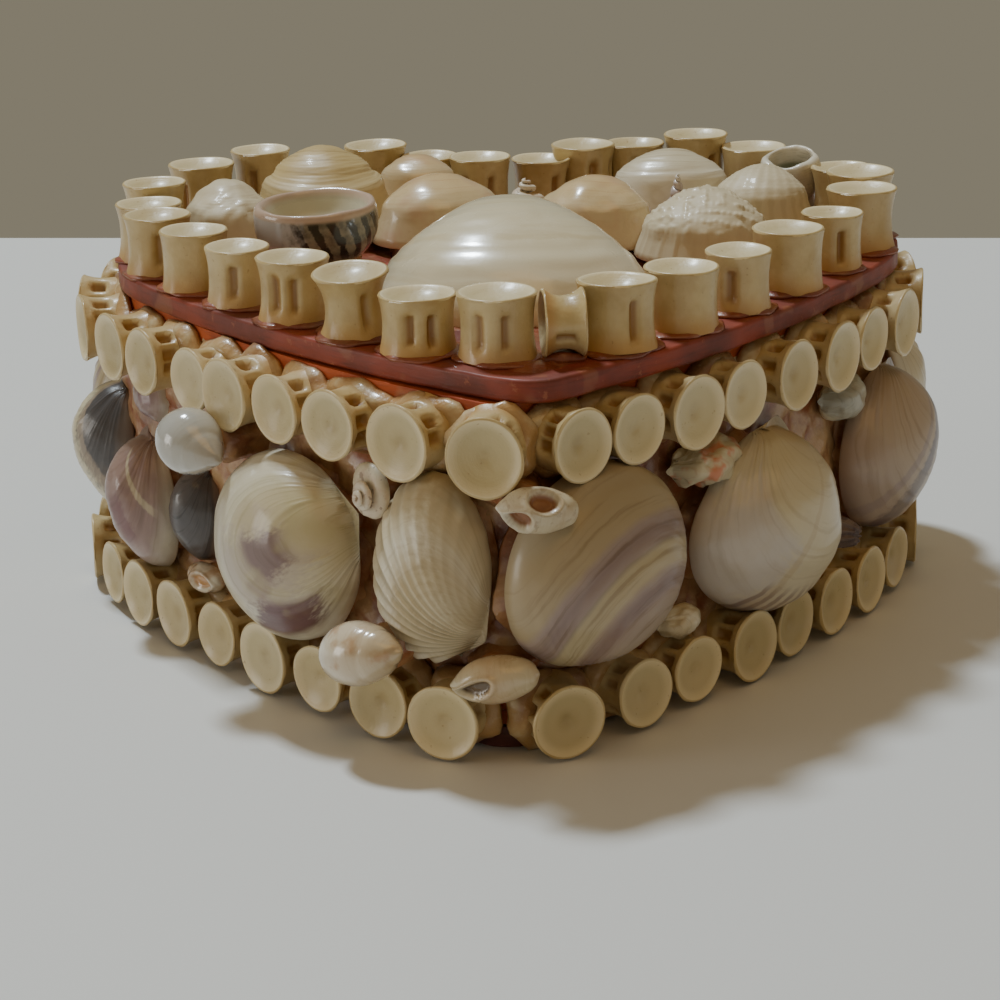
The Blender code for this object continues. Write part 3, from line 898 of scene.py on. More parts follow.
@dataclass(frozen=True)
class Vertebra:
    """A fish vertebra: a spool with flared rims, a dished end and hollows in its waist, standing on Z = 0."""

    length: float
    radius: float
    waist: float = 0.85
    dish: float = 1.0
    oval: float = 0.0
    slots: tuple[Slot, ...] = ()
    tone: float = 0.5
    both_ends: bool = False
    seed: int = 0

    SIDES = 56
    SIDE_RINGS = 18
    END = ((1.0, 0.30), (0.994, 0.12), (0.972, 0.02), (0.94, 0.0), (0.905, 0.05), (0.875, 0.16))
    DISH = (0.84, 0.77, 0.68, 0.58, 0.47, 0.36, 0.26, 0.17, 0.09)

    def skin(self) -> Skin:
        """The spool's skin, with the values that its finish reads."""
        round_ = turns(self.SIDES)
        rings, values = [], {name: [] for name in ("dish", "slot", "up")}

        def add(reach: np.ndarray, height: np.ndarray, **kept: np.ndarray) -> None:
            """Adds one ring.

            Args:
                reach: how far it is from the axis.
                height: how far it is from the foot.
                kept: its values, 0 where they are left out.
            """
            shape = 1 + self.oval * np.cos(2 * round_ + self.seed)
            flat = reach * shape
            rings.append(np.stack([flat * np.cos(round_), flat * np.sin(round_),
                                   np.broadcast_to(height, round_.shape)], axis=-1))
            for name in values:
                values[name].append(np.broadcast_to(kept.get(name, 0.0), round_.shape))

        def end(way: int) -> None:
            """Adds one dished end.

            Args:
                way: 1 at the top, from the rim inwards, and -1 at the foot, from the middle outwards.
            """
            profile = list(self.END)
            profile += [(share * 0.99, 0.16 + self.dish * (1 - (share / 0.87) ** 2) ** 0.85
                         + 0.28 * math.exp(-(share / 0.16) ** 2)) for share in self.DISH]
            for share, drop in profile[::way]:
                wobble = 0.05 * np.sin(3 * round_ + self.seed) * smooth(share, 0.5, 1.0)
                height = self.length - drop + wobble if way > 0 else drop
                dished = max(1 - share / 0.95, 0.001) if share < 0.96 else 0.0
                add(self.radius * share, height, dish=dished, up=1.0)

        if self.both_ends:
            end(-1)
        ends = self.END[0][1]
        foot = ends if self.both_ends else 0.0
        waves = 1 + 0.012 * np.sin(5 * round_ + self.seed) + 0.006 * np.sin(11 * round_ + 2 * self.seed)
        for share in 0.5 - 0.5 * np.cos(np.linspace(0, math.pi, self.SIDE_RINGS)):
            height = foot + share * (self.length - ends - foot)
            middle = abs(2 * share - 1) ** 2.3
            reach = self.radius * (self.waist + (1 - self.waist) * middle) * waves
            hollow = np.zeros_like(round_)
            for slot in self.slots:
                wide = smooth(turned_away(round_, slot.angle), math.radians(slot.half_width),
                              math.radians(slot.half_width * 0.55))
                tall = smooth(share, slot.low - 0.05, slot.low + 0.06)
                tall *= smooth(share, slot.high + 0.05, slot.high - 0.06)
                hollow = np.maximum(hollow, wide * tall * slot.depth)
            add(reach - hollow, height, slot=hollow / Slot.depth, up=share)
        end(1)
        skin = Skin.from_rings(np.stack(rings), {name: np.stack(rows) for name, rows in values.items()})
        return skin.with_value("tone", self.tone)


def lump(plan: np.ndarray, profile: Sequence[tuple[float, Union[float, np.ndarray]]],
         waves: Sequence[tuple[float, int, float]], thick: float = 0.4) -> Skin:
    """A lump of glue.

    Args:
        plan: its outline about its middle, as points x 2.
        profile: from ring to ring, its share of the outline and its height in millimetres.
        waves: the outline's waves: how strong, how many round it and where they start.
        thick: how thick and milky it looks, from 0 to 1.

    Returns:
        The glue's skin, with the second finish of its piece.
    """
    around = turns(len(plan))
    flow = 1 + sum(strength * np.sin(count * around + start) for strength, count, start in waves)
    rings = [np.column_stack([plan * (share * flow)[:, None], np.broadcast_to(rise, around.shape)])
             for share, rise in profile]
    return Skin.from_rings(np.stack(rings), {"glue": thick}, 1)


COLLAR_PROFILE = ((1.12, -0.35), (1.14, 0.1), (1.08, 0.45), (1.0, 0.75), (0.90, 1.0), (0.70, 1.0))
COLLAR_SIDES = 28


def collar(radius: float, foot: float, height: float, seed: int) -> Skin:
    """A low ring of glue round the foot of a piece.

    Args:
        radius: the reach of the piece that it holds.
        foot: how far it reaches along X, to meet its neighbours.
        height: how high it creeps up.
        seed: its irregularity.

    Returns:
        The glue's skin.
    """
    around = turns(COLLAR_SIDES)
    creep = height * (1 + 0.35 * np.sin(2 * around + 1.7 * seed))
    profile = [(share, rise * creep if rise > 0 else rise) for share, rise in COLLAR_PROFILE]
    plan = np.column_stack([foot * np.cos(around), radius * np.sin(around)])
    return lump(plan, profile, ((0.07, 3, seed), (0.05, 7, 2.3 * seed)), 0.0)


# --- valves

@dataclass(frozen=True)
class Relief:
    """What stands up from a valve's smooth surface: counts, and heights in millimetres.

    calm is how far the ribs die away on the valve's -X side, or on its +X side where it is below 0.
    """

    ribs: int = 0
    rib: float = 0.0
    ridges: float = 24.0
    ridge: float = 0.07
    grains: float = 0.0
    lumps: float = 0.18
    lip: float = 1.0
    ragged: float = 0.0
    calm: float = 0.0


BEAK_GAP = 0.06
YOUNGEST = 0.02
FAN_BACK = 0.12
SKIRT_STEPS = (1.0, 0.75, 0.5, 0.25)
SKIRT_SPREAD = 0.4
ARC_BACK = 0.2
LAST_TURN = math.radians(116)
BED_SHARE = 0.82
PROP_SHARE = 0.34
BED_SIDES = 48
PROP_SIDES = 32
GLUE_SUNK = 0.4


@dataclass(frozen=True)
class Valve:
    """A clam or cockle valve on its edge, beak towards +Y. Each older edge is a smaller copy, turned up.

    curl is how fast it shrinks as it turns: 0.8 gives a deep valve and 1.7 a nearly flat one. skew leans the
    free edge towards +X and flare below 0 makes it broad. swell rounds it out towards its edge, and blunt
    turns its standing beak into an even dome. fanned is how far its colours follow arcs about the beak
    instead of the old edges. skirt is how far its edge hangs down, and bed is the depth of the glue under it.
    """

    width: float
    length: float
    curl: float = 1.1
    skew: float = 0.0
    flare: float = 0.0
    bed: float = 0.0
    swell: float = 0.85
    blunt: float = 0.6
    fanned: float = 0.0
    skirt: float = 0.0
    relief: Relief = Relief()
    sides: int = 96
    rings: int = 64
    seed: int = 1

    def skin(self) -> Skin:
        """The valve's skin and the glue under it, with the values that its finish reads."""
        away, across, down = self._plan(self.sides)
        growth = np.linspace(1.0, YOUNGEST, self.rings)[:, None]
        turn = np.minimum(-np.log(growth) / self.curl, LAST_TURN)
        grid = np.stack([growth * across, self.length / 2 - growth * down * np.cos(turn),
                         growth * down * np.sin(turn)], axis=-1)
        tip = grid[..., 2].max()
        grid[..., 1] = mix(grid[..., 1], self.length / 2 - growth * down, self.blunt)
        lower = np.clip((0.5 - grid[..., 1] / self.length - BEAK_GAP) / (1 - BEAK_GAP), 0.0, 1.0)
        level = 1 - 2 * lower
        half = self.width / 2 * (1 + self.flare * level)
        reach = ((grid[..., 0] - self.skew * self.width * lower) / half) ** 2 + level ** 2
        round_top = tip * np.sqrt(np.clip(1 - reach, 0.0, 1.0))
        standing = (np.abs(grid[..., 2]) ** 4 + (self.swell * round_top) ** 4) ** 0.25
        grid[..., 2] = mix(standing, round_top * (1 + 0.15 * level), self.blunt)
        ahead = self.width / 2 * (FAN_BACK + (2 - FAN_BACK) * away)
        fan = np.arctan2(across - self.skew * self.width * away, ahead) * 2 / math.pi
        fan = np.broadcast_to(fan, grid.shape[:2])
        growth = np.broadcast_to(growth, grid.shape[:2])
        normal = normals_of(grid, growth[..., None] * UP)
        height, relief = self._heights(grid, growth, fan)
        grid = grid + normal * (height * smooth(growth * down / self.length, 0.03, 0.16))[..., None]
        centre = np.array([0, self.length * (0.5 - BEAK_GAP + ARC_BACK)])
        arcs = np.linalg.norm(grid[..., :2] - centre, axis=-1) / self.length - ARC_BACK
        growth = mix(growth, np.minimum(arcs, 1.05), self.fanned)
        if self.skirt:
            out = unit(grid[0] - grid[0].mean(axis=0)) * SKIRT_SPREAD - UP
            hang = [grid[0] + out * self.skirt * share for share in SKIRT_STEPS]
            grid = np.concatenate([np.stack(hang), grid])
            growth, fan, relief = (np.concatenate([np.repeat(row[:1], len(hang), axis=0), row])
                                   for row in (growth, fan, relief))
        grid, growth, fan, relief = self._with_lip(grid, growth, fan, relief)
        shell = Skin.from_rings(grid, {"growth": growth, "fan": fan, "relief": relief})
        return Skin.joined([shell, self._bed()]) if self.bed else shell

    def _heights(self, grid: np.ndarray, growth: np.ndarray,
                 fan: np.ndarray) -> tuple[np.ndarray, np.ndarray]:
        """The relief's height at each point, and the same as a share for the finish.

        Args:
            grid: the smooth surface.
            growth: the age of each point.
            fan: its direction from the beak.

        Returns:
            The heights in millimetres, and the ribs' share from -1 to 1.
        """
        made = self.relief
        steps = np.random.default_rng(self.seed).normal(size=int(made.ridges) + 3)
        wobble = ripple(np.stack([growth * 3, fan * 2], axis=-1), 1.6, self.seed) * 0.012
        lines = np.interp((growth + wobble) * made.ridges, np.arange(len(steps)), steps)
        fine = np.sin((growth + wobble) * made.ridges * 2.7 * TAU)
        height = made.ridge * (0.7 * lines + 0.3 * fine) * smooth(growth, 0.15, 0.4)
        height += made.lumps * ripple(grid, self.width * 0.55, self.seed + 9) * smooth(growth, 0.1, 0.4)
        height += made.ragged * ripple(grid, 3.2, self.seed + 5) * smooth(growth, 0.55, 1.0)
        share = np.zeros_like(height)
        if made.ribs:
            phase = fan * made.ribs / 2 + 0.08 * ripple(np.stack([growth * 2, fan], axis=-1), 1.0, self.seed)
            share = 1 - 2 * np.abs(np.sin(math.pi * phase)) ** 1.5
            share = share * smooth(np.abs(fan), 1.0, 0.93)
            share *= 1 - abs(made.calm) * smooth(fan * math.copysign(1, made.calm), 0.25, -0.35)
            height += made.rib * share * (0.25 + 0.75 * growth)
        if made.grains:
            beads = np.sin(growth * made.ridges * TAU) if made.ribs else ripple(grid, 2.2, self.seed + 3)
            height += made.grains * np.maximum(beads, 0) * np.maximum(share if made.ribs else 1.0, 0)
            share = share + 0.5 * beads * (made.grains > 0)
        return height, share

    def _with_lip(self, grid: np.ndarray, growth: np.ndarray, fan: np.ndarray,
                  relief: np.ndarray) -> tuple[np.ndarray, np.ndarray, np.ndarray, np.ndarray]:
        """Adds the edge's thickness and a hidden underside before the outer surface.

        Args:
            grid: the outer surface, from the free edge up.
            growth: the age of each point.
            fan: its direction from the beak.
            relief: the ribs' share there.

        Returns:
            The same four with the new rings in front.
        """
        edge = grid[0]
        middle = edge.mean(axis=0)
        inward = middle - edge
        inward[:, 2] = 0
        inward, lip = unit(inward) * self.relief.lip, UP * self.relief.lip
        under = [edge * 0.86 + middle * 0.14 + lip * 0.5, edge + inward * 1.3 - lip * 0.15,
                 edge + inward * 0.75 - lip * 0.42, edge + inward * 0.22 - lip * 0.30]
        grid = np.concatenate([np.stack(under), grid])
        return grid, *(np.concatenate([np.repeat(row[:1], len(under), axis=0), row])
                       for row in (growth, fan, relief))

    def _plan(self, sides: int) -> tuple[np.ndarray, np.ndarray, np.ndarray]:
        """The free edge seen from above.

        Args:
            sides: how many points go round it.

        Returns:
            Each point's share of the way from the beak, its X, and its distance down from the top.
        """
        around = turns(sides)
        away = (1 - np.cos(around)) / 2
        across = self.width / 2 * np.sin(around) * (1 + self.flare * np.cos(around))
        across += self.skew * self.width * away
        return away, across, self.length * (BEAK_GAP + (1 - BEAK_GAP) * away)

    def _bed(self) -> Skin:
        """The lump of glue that the valve stands in."""
        _, across, down = self._plan(BED_SIDES)
        profile = ((0.80, 1.2), (BED_SHARE, 0.2), (0.80, -0.35 * self.bed), (0.82, -0.75 * self.bed),
                   (0.90, -self.bed), (0.90, -self.bed - GLUE_SUNK))
        plan = np.column_stack([across, self.length / 2 - down])
        return lump(plan, profile, ((0.04, 4, self.seed), (0.03, 9, 3 * self.seed)))


# --- snails and other turned shells

@dataclass(frozen=True)
class Opening:
    """A mouth or a hole: its angle and half angle in degrees, its place and half height as shares, its depth.

    lip is how high its edge stands and lean how far its long axis leans, in degrees.
    """

    angle: float
    height: float
    half_angle: float
    half_height: float
    depth: float
    lip: float = 0.0
    lean: float = 0.0


@dataclass(frozen=True)
class Turned:
    """A shell turned about its axis, from a profile in shares of its radius and height.

    It stands on the low end of its axis, or lies with the axis along +Y where lying is set. whorls is how
    many times the groove between its coils runs round it, and flutes are ridges down its side. stripes is how
    many colour bars run down it and twist is how far they lean, in radians. hollow colours the inside of an
    open profile.
    """

    profile: tuple[tuple[float, float], ...]
    width: float
    height: float
    depth: float = 0.0
    lying: bool = True
    whorls: float = 0.0
    groove: float = 0.0
    flutes: int = 0
    flute: float = 0.0
    openings: tuple[Opening, ...] = ()
    stripes: float = 0.0
    twist: float = 0.0
    hollow: bool = False
    lumps: float = 0.1
    seed: int = 1
    bed: float = 0.0

    SIDES = 72
    RINGS = 56
    POLE_GAP = 0.012

    def _line(self) -> np.ndarray:
        """The profile, rounded off and evenly spaced."""
        line = np.array(self.profile, float)
        for _ in range(3):
            cut = np.stack([line[:-1] * 0.75 + line[1:] * 0.25, line[:-1] * 0.25 + line[1:] * 0.75], axis=1)
            line = np.concatenate([line[:1], cut.reshape(-1, 2), line[-1:]])
        size = np.array([self.width / 2, self.height])
        run = np.concatenate([[0], np.cumsum(np.linalg.norm(np.diff(line * size, axis=0), axis=1))])
        even = np.linspace(self.POLE_GAP, 1 - self.POLE_GAP, self.RINGS) * run[-1]
        return np.stack([np.interp(even, run, line[:, k]) for k in (0, 1)], axis=-1)

    def skin(self) -> Skin:
        """The shell's skin, with the values that its finish reads."""
        line = self._line()
        around = turns(self.SIDES)
        reach, rise = line[:, :1], line[:, 1:]
        depth = self.depth or self.width
        grid = np.stack(np.broadcast_arrays(reach * np.cos(around) * self.width / 2,
                                            reach * np.sin(around) * depth / 2, rise * self.height), axis=-1)
        normal = normals_of(grid, grid - grid.mean(axis=(0, 1)))
        height = self.lumps * ripple(grid, self.width * 0.8, self.seed)
        if self.whorls:
            phase = rise ** 1.5 * self.whorls + around / TAU
            near = np.abs(phase - np.round(phase))
            height -= self.groove * np.exp(-(near / 0.11) ** 2) * smooth(rise, 0.42, 0.62)
        if self.flutes:
            height += self.flute * np.cos(self.flutes * around + 3 * rise) * smooth(reach, 0.1, 0.5)
        inside = np.zeros(grid.shape[:2])
        for hole in self.openings:
            tilted = around[None, :] - math.radians(hole.lean) * (rise - hole.height) / hole.half_height
            wide = turned_away(tilted, hole.angle) / math.radians(hole.half_angle)
            tall = (rise - hole.height) / hole.half_height
            apart = np.sqrt(wide ** 2 + tall ** 2)
            height += hole.lip * np.exp(-((apart - 1.12) / 0.16) ** 2)
            height -= hole.depth * smooth(apart, 1.05, 0.72)
            # The opening's inside takes the finish's inner colour, which holds painted shade.
            inside = np.maximum(inside, smooth(apart, 1.0, 0.75))
        grid = grid + normal * height[..., None]
        widest = int(np.argmax(line[:, 1]))
        mouth = np.clip((np.arange(len(line)) - widest) / (len(line) - widest), 0.0, 1.0)[:, None]
        if self.hollow:
            inside = np.maximum(inside, smooth(mouth, 0.25, 0.5))
        skin = Skin.from_rings(grid, {"growth": rise, "fan": np.cos(around), "inside": inside, "mouth": mouth,
                                      "stripe": np.cos(self.stripes * around + self.twist * rise)})
        if self.lying:
            skin.moved(spin(-90, "X") @ Matrix.Translation((0, 0, -self.height / 2))).stood()
        return skin


@dataclass(frozen=True)
class Coiled:
    """A small snail: a tube that widens as it coils about +Z, its mouth at the foot and its tip on top.

    MOUTH holds its rim's rings, from the tube inwards: their size, how far they push ahead and how much
    painted shade darkens them.
    """

    width: float
    height: float
    coils: float = 3.6
    widening: float = 1.9
    start: float = 0.0
    seed: int = 1
    bed: float = 0.0

    SIDES = 20
    STEPS = 26
    CENTRE, TUBE, DROP = 0.56, 0.47, 2.1
    MOUTH = ((1.03, 0.03, 0.0), (0.95, 0.05, 0.0), (0.84, 0.0, 0.2), (0.74, -0.14, 0.8), (0.55, -0.30, 1.0))

    def skin(self) -> Skin:
        """The snail's skin, with the values that its finish reads."""
        steps = int(self.coils * self.STEPS)
        angle = np.linspace(-self.coils * TAU, 0, steps)[:, None]
        scale = self.widening ** (angle / TAU)
        round_ = turns(self.SIDES)
        reach = scale * (self.CENTRE + self.TUBE * np.cos(round_))
        level = self.DROP * (1 - scale) + scale * self.TUBE * np.sin(round_) * 1.15
        grid = np.stack([reach * np.cos(angle), reach * np.sin(angle), level], axis=-1)
        grid += 0.02 * ripple(grid, 0.5, self.seed)[..., None]
        mouth = grid[-1].mean(axis=0)
        ahead = unit(mouth - grid[-2].mean(axis=0))
        rim = [mouth + (grid[-1] - mouth) * share + ahead * push for share, push, _ in self.MOUTH]
        grid = np.concatenate([grid, np.stack(rim)])
        # Painted shade: the mouth's rings darken deeper into the tube.
        inside = np.concatenate([np.zeros(steps), [dark for _, _, dark in self.MOUTH]])[:, None]
        growth = np.concatenate([scale[:, 0], np.ones(len(rim))])[:, None]
        size = grid.reshape(-1, 3)
        low, high = size.min(axis=0), size.max(axis=0)
        grid = (grid - (low + high) / 2) * np.array([self.width, self.width, self.height]) / (high - low)
        skin = Skin.from_rings(grid, {"growth": growth, "fan": np.cos(round_), "inside": inside})
        return skin.moved(spin(self.start, "Z")).stood()


Form = Union[Valve, Turned, Coiled]


# --- rows of vertebrae

BONE = BoneFinish()
# The lid's vertebrae are the same bone as the wall's, painted lighter on their ends, which face up, and
# darker on their sides: painted light and painted shade.
LID_BONE_LIT_AND_SHADED = BoneFinish(
    "lid_fish_bone_lit_and_shaded", ivory=(0.60, 0.46, 0.22), side=(0.49, 0.345, 0.14), face=(0.63, 0.52, 0.29),
    dimple=(0.54, 0.43, 0.22), rim=(0.84, 0.72, 0.46))
ROW_GLUE = GlueFinish("row_glue", (0.50, 0.30, 0.12), (0.64, 0.52, 0.31), (0.24, 0.09, 0.035))
LID_GLUE = GlueFinish("lid_glue", (0.27, 0.060, 0.024), (0.38, 0.16, 0.08), (0.16, 0.034, 0.015))


class Stand(Enum):
    """Where a row of vertebrae stands."""

    WALL = "wall"
    LID = "lid"


@dataclass(frozen=True)
class Bead:
    """A vertebra in a row: where it is, how it leans, and where the hollows in its side are.

    On the wall hollows are angles about its axis, 90 up. On the lid they are bearings from the front, + to
    the right. Without any, they are chosen by the row. more and wide are what its length and radius have over
    the row's own.
    """

    station: float
    out: float = 0.0
    yaw: float = 0.0
    nod: float = 0.0
    hollows: tuple[float, ...] | None = None
    waist: float = 0.0
    more: float = 0.0
    dish: float = 0.0
    wide: float = 0.0


def plain(*stations: float) -> tuple[Bead, ...]:
    """Vertebrae that only stand in the row, at these stations."""
    return tuple(Bead(station) for station in stations)


def evenly(first: float, last: float, count: int) -> tuple[Bead, ...]:
    """Vertebrae at equal steps from the first station to the last."""
    return plain(*(first + (last - first) * k / (count - 1) for k in range(count)))


def size_of(number: int, amount: float = 0.25) -> float:
    """A small steady change of size from one vertebra to the next."""
    return amount * math.sin(2.4 * number + 0.7)


@dataclass(frozen=True)
class VertebraRow:
    """A run of vertebrae glued side by side, as one piece. The glue creeps up them, higher on the wall."""

    name: str
    stand: Stand
    beads: tuple[Bead, ...]
    height: float = 0.0
    radius: float = 5.55
    wall_length: float = 7.4
    lid_length: float = 9.6
    lid_inset: float = 4.8
    wall_creep: float = 1.9
    lid_creep: float = 0.55
    seed: int = 0

    def build(self) -> bpy.types.Object:
        """Makes the run.

        Returns:
            The run's piece.
        """
        places = [self._place(bead) for bead in self.beads]
        gaps = [0.0] + [(a.translation - b.translation).length for a, b in zip(places, places[1:])] + [0.0]
        skins = []
        for number, (bead, place) in enumerate(zip(self.beads, places)):
            radius = self.radius + size_of(number) + bead.wide
            form = self._vertebra(bead, number, radius)
            seat = place @ spin(bead.yaw, "Y") @ spin(bead.nod, "X")
            skins.append(form.skin().moved(seat))
            if self.stand is Stand.WALL:
                reach = max(max(gaps[number:number + 2]) / 2 + 0.4, radius)
                glue = collar(radius * 0.93, reach, self.wall_creep, number + self.seed).moved(place)
            else:
                glue = collar(radius * 0.93, radius + 0.3, self.lid_creep, number + self.seed)
                glue.moved(place @ self._facing(bead))
            skins.append(glue)
        finishes = (BONE, ROW_GLUE) if self.stand is Stand.WALL else (LID_BONE_LIT_AND_SHADED, LID_GLUE)
        return Skin.joined(skins).above_floor().piece(self.name, finishes, "bone", (self.name,))

    def _place(self, bead: Bead) -> Matrix:
        """The frame at a vertebra's foot."""
        if self.stand is Stand.WALL:
            return LAYOUT.wall_place(bead.station, self.height, LAYOUT.gap + bead.out)
        point, _ = LAYOUT.on_lid(bead.station, bead.out - self.lid_inset)
        return LAYOUT.lid_pose @ Matrix.Translation((point.x, point.y, LAYOUT.lid_top + LAYOUT.gap))

    @staticmethod
    def _facing(bead: Bead) -> Matrix:
        """The turn that points -Y outwards from the lid's edge."""
        _, outward = LAYOUT.on_wall(bead.station)
        return Matrix.Rotation(math.atan2(outward.x, -outward.y), 4, "Z")

    def _vertebra(self, bead: Bead, number: int, radius: float) -> Vertebra:
        """The form of one vertebra.

        Args:
            bead: its place in the row.
            number: which one it is.
            radius: its radius.

        Returns:
            The form.
        """
        draw = np.random.default_rng(1000 * self.seed + number)
        length = self.wall_length if self.stand is Stand.WALL else self.lid_length
        length += size_of(number, 0.4) + bead.more
        side = 1 if bead.station > 0 else -1
        hollows = bead.hollows
        if self.stand is Stand.WALL:
            if hollows is None:
                first = 90 + side * draw.uniform(18, 42)
                hollows = (first, first + side * draw.uniform(34, 44), first - side * draw.uniform(80, 130))
            slots = [Slot(angle + 180 * turn, draw.uniform(11, 15), 0.40, 0.78, draw.uniform(1.0, 1.5))
                     for angle in hollows for turn in (0, 1)]
        else:
            if hollows is None:
                first = draw.uniform(-60, 40)
                hollows = (first, first + draw.uniform(45, 80), first + 180)
            slots = [Slot(bearing - 90, draw.uniform(8.5, 12.5), draw.uniform(0.16, 0.24),
                          draw.uniform(0.74, 0.82), draw.uniform(0.8, 1.25)) for bearing in hollows]
        waist = bead.waist or draw.uniform(0.84, 0.91)
        dish = bead.dish or draw.uniform(0.8, 1.3) + (0.5 if self.stand is Stand.LID else 0.0)
        return Vertebra(length, radius, waist, dish, draw.uniform(0.0, 0.035), tuple(slots),
                        draw.uniform(0.0, 1.0), seed=int(draw.integers(1, 99)))


BOTTOM, TOP = 6.25, 47.7
ROWS = (
    VertebraRow("bottom_vertebrae_right", Stand.WALL, (Bead(5.5, 1.2, -14, wide=0.1), Bead(19.2, 0.6),
        *plain(31.6, 44.5, 56.5, 68.5, 80.5, 92.5)), BOTTOM, seed=1),
    VertebraRow("bottom_vertebrae_left", Stand.WALL, (Bead(-6.6, 1.2, 14, wide=0.1), Bead(-18, 1.2, 6),
        Bead(-31, 0.6), *plain(-43.8, -57, -69.5, -81.5, -93)), BOTTOM, seed=2),
    VertebraRow("bottom_vertebrae_right_lobe", Stand.WALL, evenly(105.4, 188, 8), BOTTOM, seed=3),
    VertebraRow("bottom_vertebrae_left_lobe", Stand.WALL, evenly(-105.8, -188, 8), BOTTOM, seed=4),
    VertebraRow("top_vertebrae_right", Stand.WALL, (Bead(-1.2, 0.2, hollows=(74, 48, 22), wide=0.25),
        Bead(7.8, 0.2, hollows=(150, 178, 120)), *plain(19, 30.9, 42.5, 56, 69, 81, 92.6)), TOP, seed=5),
    VertebraRow("top_vertebrae_left", Stand.WALL, (Bead(-12.8, hollows=(84, 40, 10), wide=0.2),
        *plain(-26.8, -39, -50.6, -61, -75.5, -87)), TOP, seed=6),
    VertebraRow("top_vertebrae_right_lobe", Stand.WALL, evenly(105.4, 188, 8), TOP, seed=7),
    VertebraRow("top_vertebrae_left_lobe", Stand.WALL, evenly(-99.8, -188, 8), TOP, seed=8),
    VertebraRow("lid_vertebrae_right", Stand.LID,
        (Bead(20.4, hollows=(22, 200), waist=0.90, dish=2.4, wide=0.4, more=0.4, nod=-3),
        Bead(35.2, hollows=(150,), waist=0.93, dish=1.6, wide=0.2),
        Bead(50.3, hollows=(-22, 150), waist=0.92, dish=1.2), Bead(65.6, hollows=(-58, 120), waist=0.93),
        Bead(82.4, hollows=(10, 170), waist=0.92, wide=-0.3),
        Bead(98.5, hollows=(160,), more=0.8, wide=0.3), Bead(112, more=1.2, wide=0.4),
        Bead(122.6, more=0.8)), seed=9),
    VertebraRow("lid_vertebrae_left", Stand.LID,
        (Bead(-11.6, -3, hollows=(-34, 10, 130), waist=0.90, wide=0.3),
        Bead(-23.8, 1, hollows=(-16, 22, 160), waist=0.90, wide=0.2, more=-0.8),
        Bead(-38.2, nod=4, yaw=-4, hollows=(24, 160), waist=0.74, wide=0.6, more=0.8),
        Bead(-53.2, hollows=(-34, 2, 150), waist=0.87), Bead(-68.4, hollows=(-8, 120), waist=0.90),
        Bead(-82.3, hollows=(44, 160), waist=0.92)), seed=10),
    VertebraRow("lid_vertebrae_right_lobe", Stand.LID, (Bead(147.3, more=1.0),
        Bead(159.6, more=3.0, wide=0.2), Bead(172, more=1.8), Bead(183, more=1.5), Bead(193, more=0.6)),
        seed=11),
    VertebraRow("lid_vertebrae_left_lobe", Stand.LID, (*plain(-97, -109.5), Bead(-122, 1.2, more=1.6),
        Bead(-137.5, more=1.8), Bead(-152.5, more=3.2), Bead(-165), Bead(-177, more=2.4),
        Bead(-189, more=1.4), Bead(-198.8, more=1.4, wide=-0.3)), seed=12),
)


@dataclass(frozen=True)
class LyingVertebra:
    """The small vertebra that lies on its side in the lid's row, with a square hollow towards the front."""

    name: str = "lid_vertebra_on_its_side"
    length: float = 6.2
    radius: float = 5.2
    x: float = 5.0
    y: float = -51.0
    turn: float = 3.0

    def build(self) -> bpy.types.Object:
        """Makes the piece.

        Returns:
            The piece.
        """
        slots = (Slot(-12, 17, 0.28, 0.72, 2.0), Slot(42, 13, 0.22, 0.78, 0.8),
                 Slot(-68, 12, 0.22, 0.78, 0.8), Slot(170, 15, 0.25, 0.75, 1.2))
        form = Vertebra(self.length, self.radius, 0.80, 1.0, 0.02, slots, 0.6, both_ends=True, seed=4)
        lying = LAYOUT.lid_place(self.x, self.y, self.radius + LAYOUT.gap, turn=self.turn)
        skin = form.skin().moved(lying @ spin(90, "Y") @ Matrix.Translation((0, 0, -self.length / 2)))
        foot = collar(self.radius * 0.5, self.length * 0.5, 0.9, 3)
        foot.moved(LAYOUT.lid_place(self.x, self.y, LAYOUT.gap, turn=self.turn))
        return Skin.joined([skin, foot]).piece(self.name, (LID_BONE_LIT_AND_SHADED, LID_GLUE), "bone", (self.name,))


# --- shell finishes

CREAM: Colour = (0.62, 0.54, 0.36)
PALE: Colour = (0.74, 0.68, 0.54)
TAN: Colour = (0.50, 0.38, 0.22)
PLUM: Colour = (0.22, 0.11, 0.11)
SLATE: Colour = (0.085, 0.075, 0.075)

# The broad darker tan ray on the valve's -X side, the right-hand side of the front cockle, is partly the
# shell's own tan and partly painted shade.
COCKLE = ShellFinish(
    "ribbed_cream", ((0.1, (0.62, 0.52, 0.34)), (0.5, (0.61, 0.51, 0.33)), (0.68, PALE),
    (0.80, (0.66, 0.58, 0.41)), (0.95, (0.60, 0.51, 0.34))),
    rays=(Ray(-0.62, 0.50, (0.40, 0.30, 0.16), 0.6),), blotch=(0.47, 0.36, 0.21), blotched=0.4, lines=0.2,
    gloss=0.15, roughness=0.42, valley_shade_and_grime=(0.34, 0.26, 0.14))
BANDED_CREAM = ShellFinish(
    "cream_with_plum", ((0.1, (0.56, 0.47, 0.29)), (0.3, (0.58, 0.50, 0.31)), (0.5, (0.60, 0.52, 0.34)),
    (0.66, (0.64, 0.58, 0.43)), (0.9, (0.66, 0.60, 0.46)), (1.0, PALE)),
    rays=(Ray(0.14, 0.44, (0.42, 0.33, 0.28), 0.6, 0.22, 0.70),
    Ray(0.06, 0.28, (0.21, 0.13, 0.12), 0.95, 0.26, 0.48),
    Ray(0.42, 0.22, (0.15, 0.065, 0.065), 1.0, 0.60, 0.90),
    Ray(0.22, 0.10, (0.30, 0.20, 0.17), 0.7, 0.46, 0.62),
    Ray(-0.28, 0.14, (0.42, 0.32, 0.26), 0.4, 0.36, 0.58)), blotch=(0.50, 0.44, 0.20), lines=0.3,
    blotched=0.3, gloss=0.3)
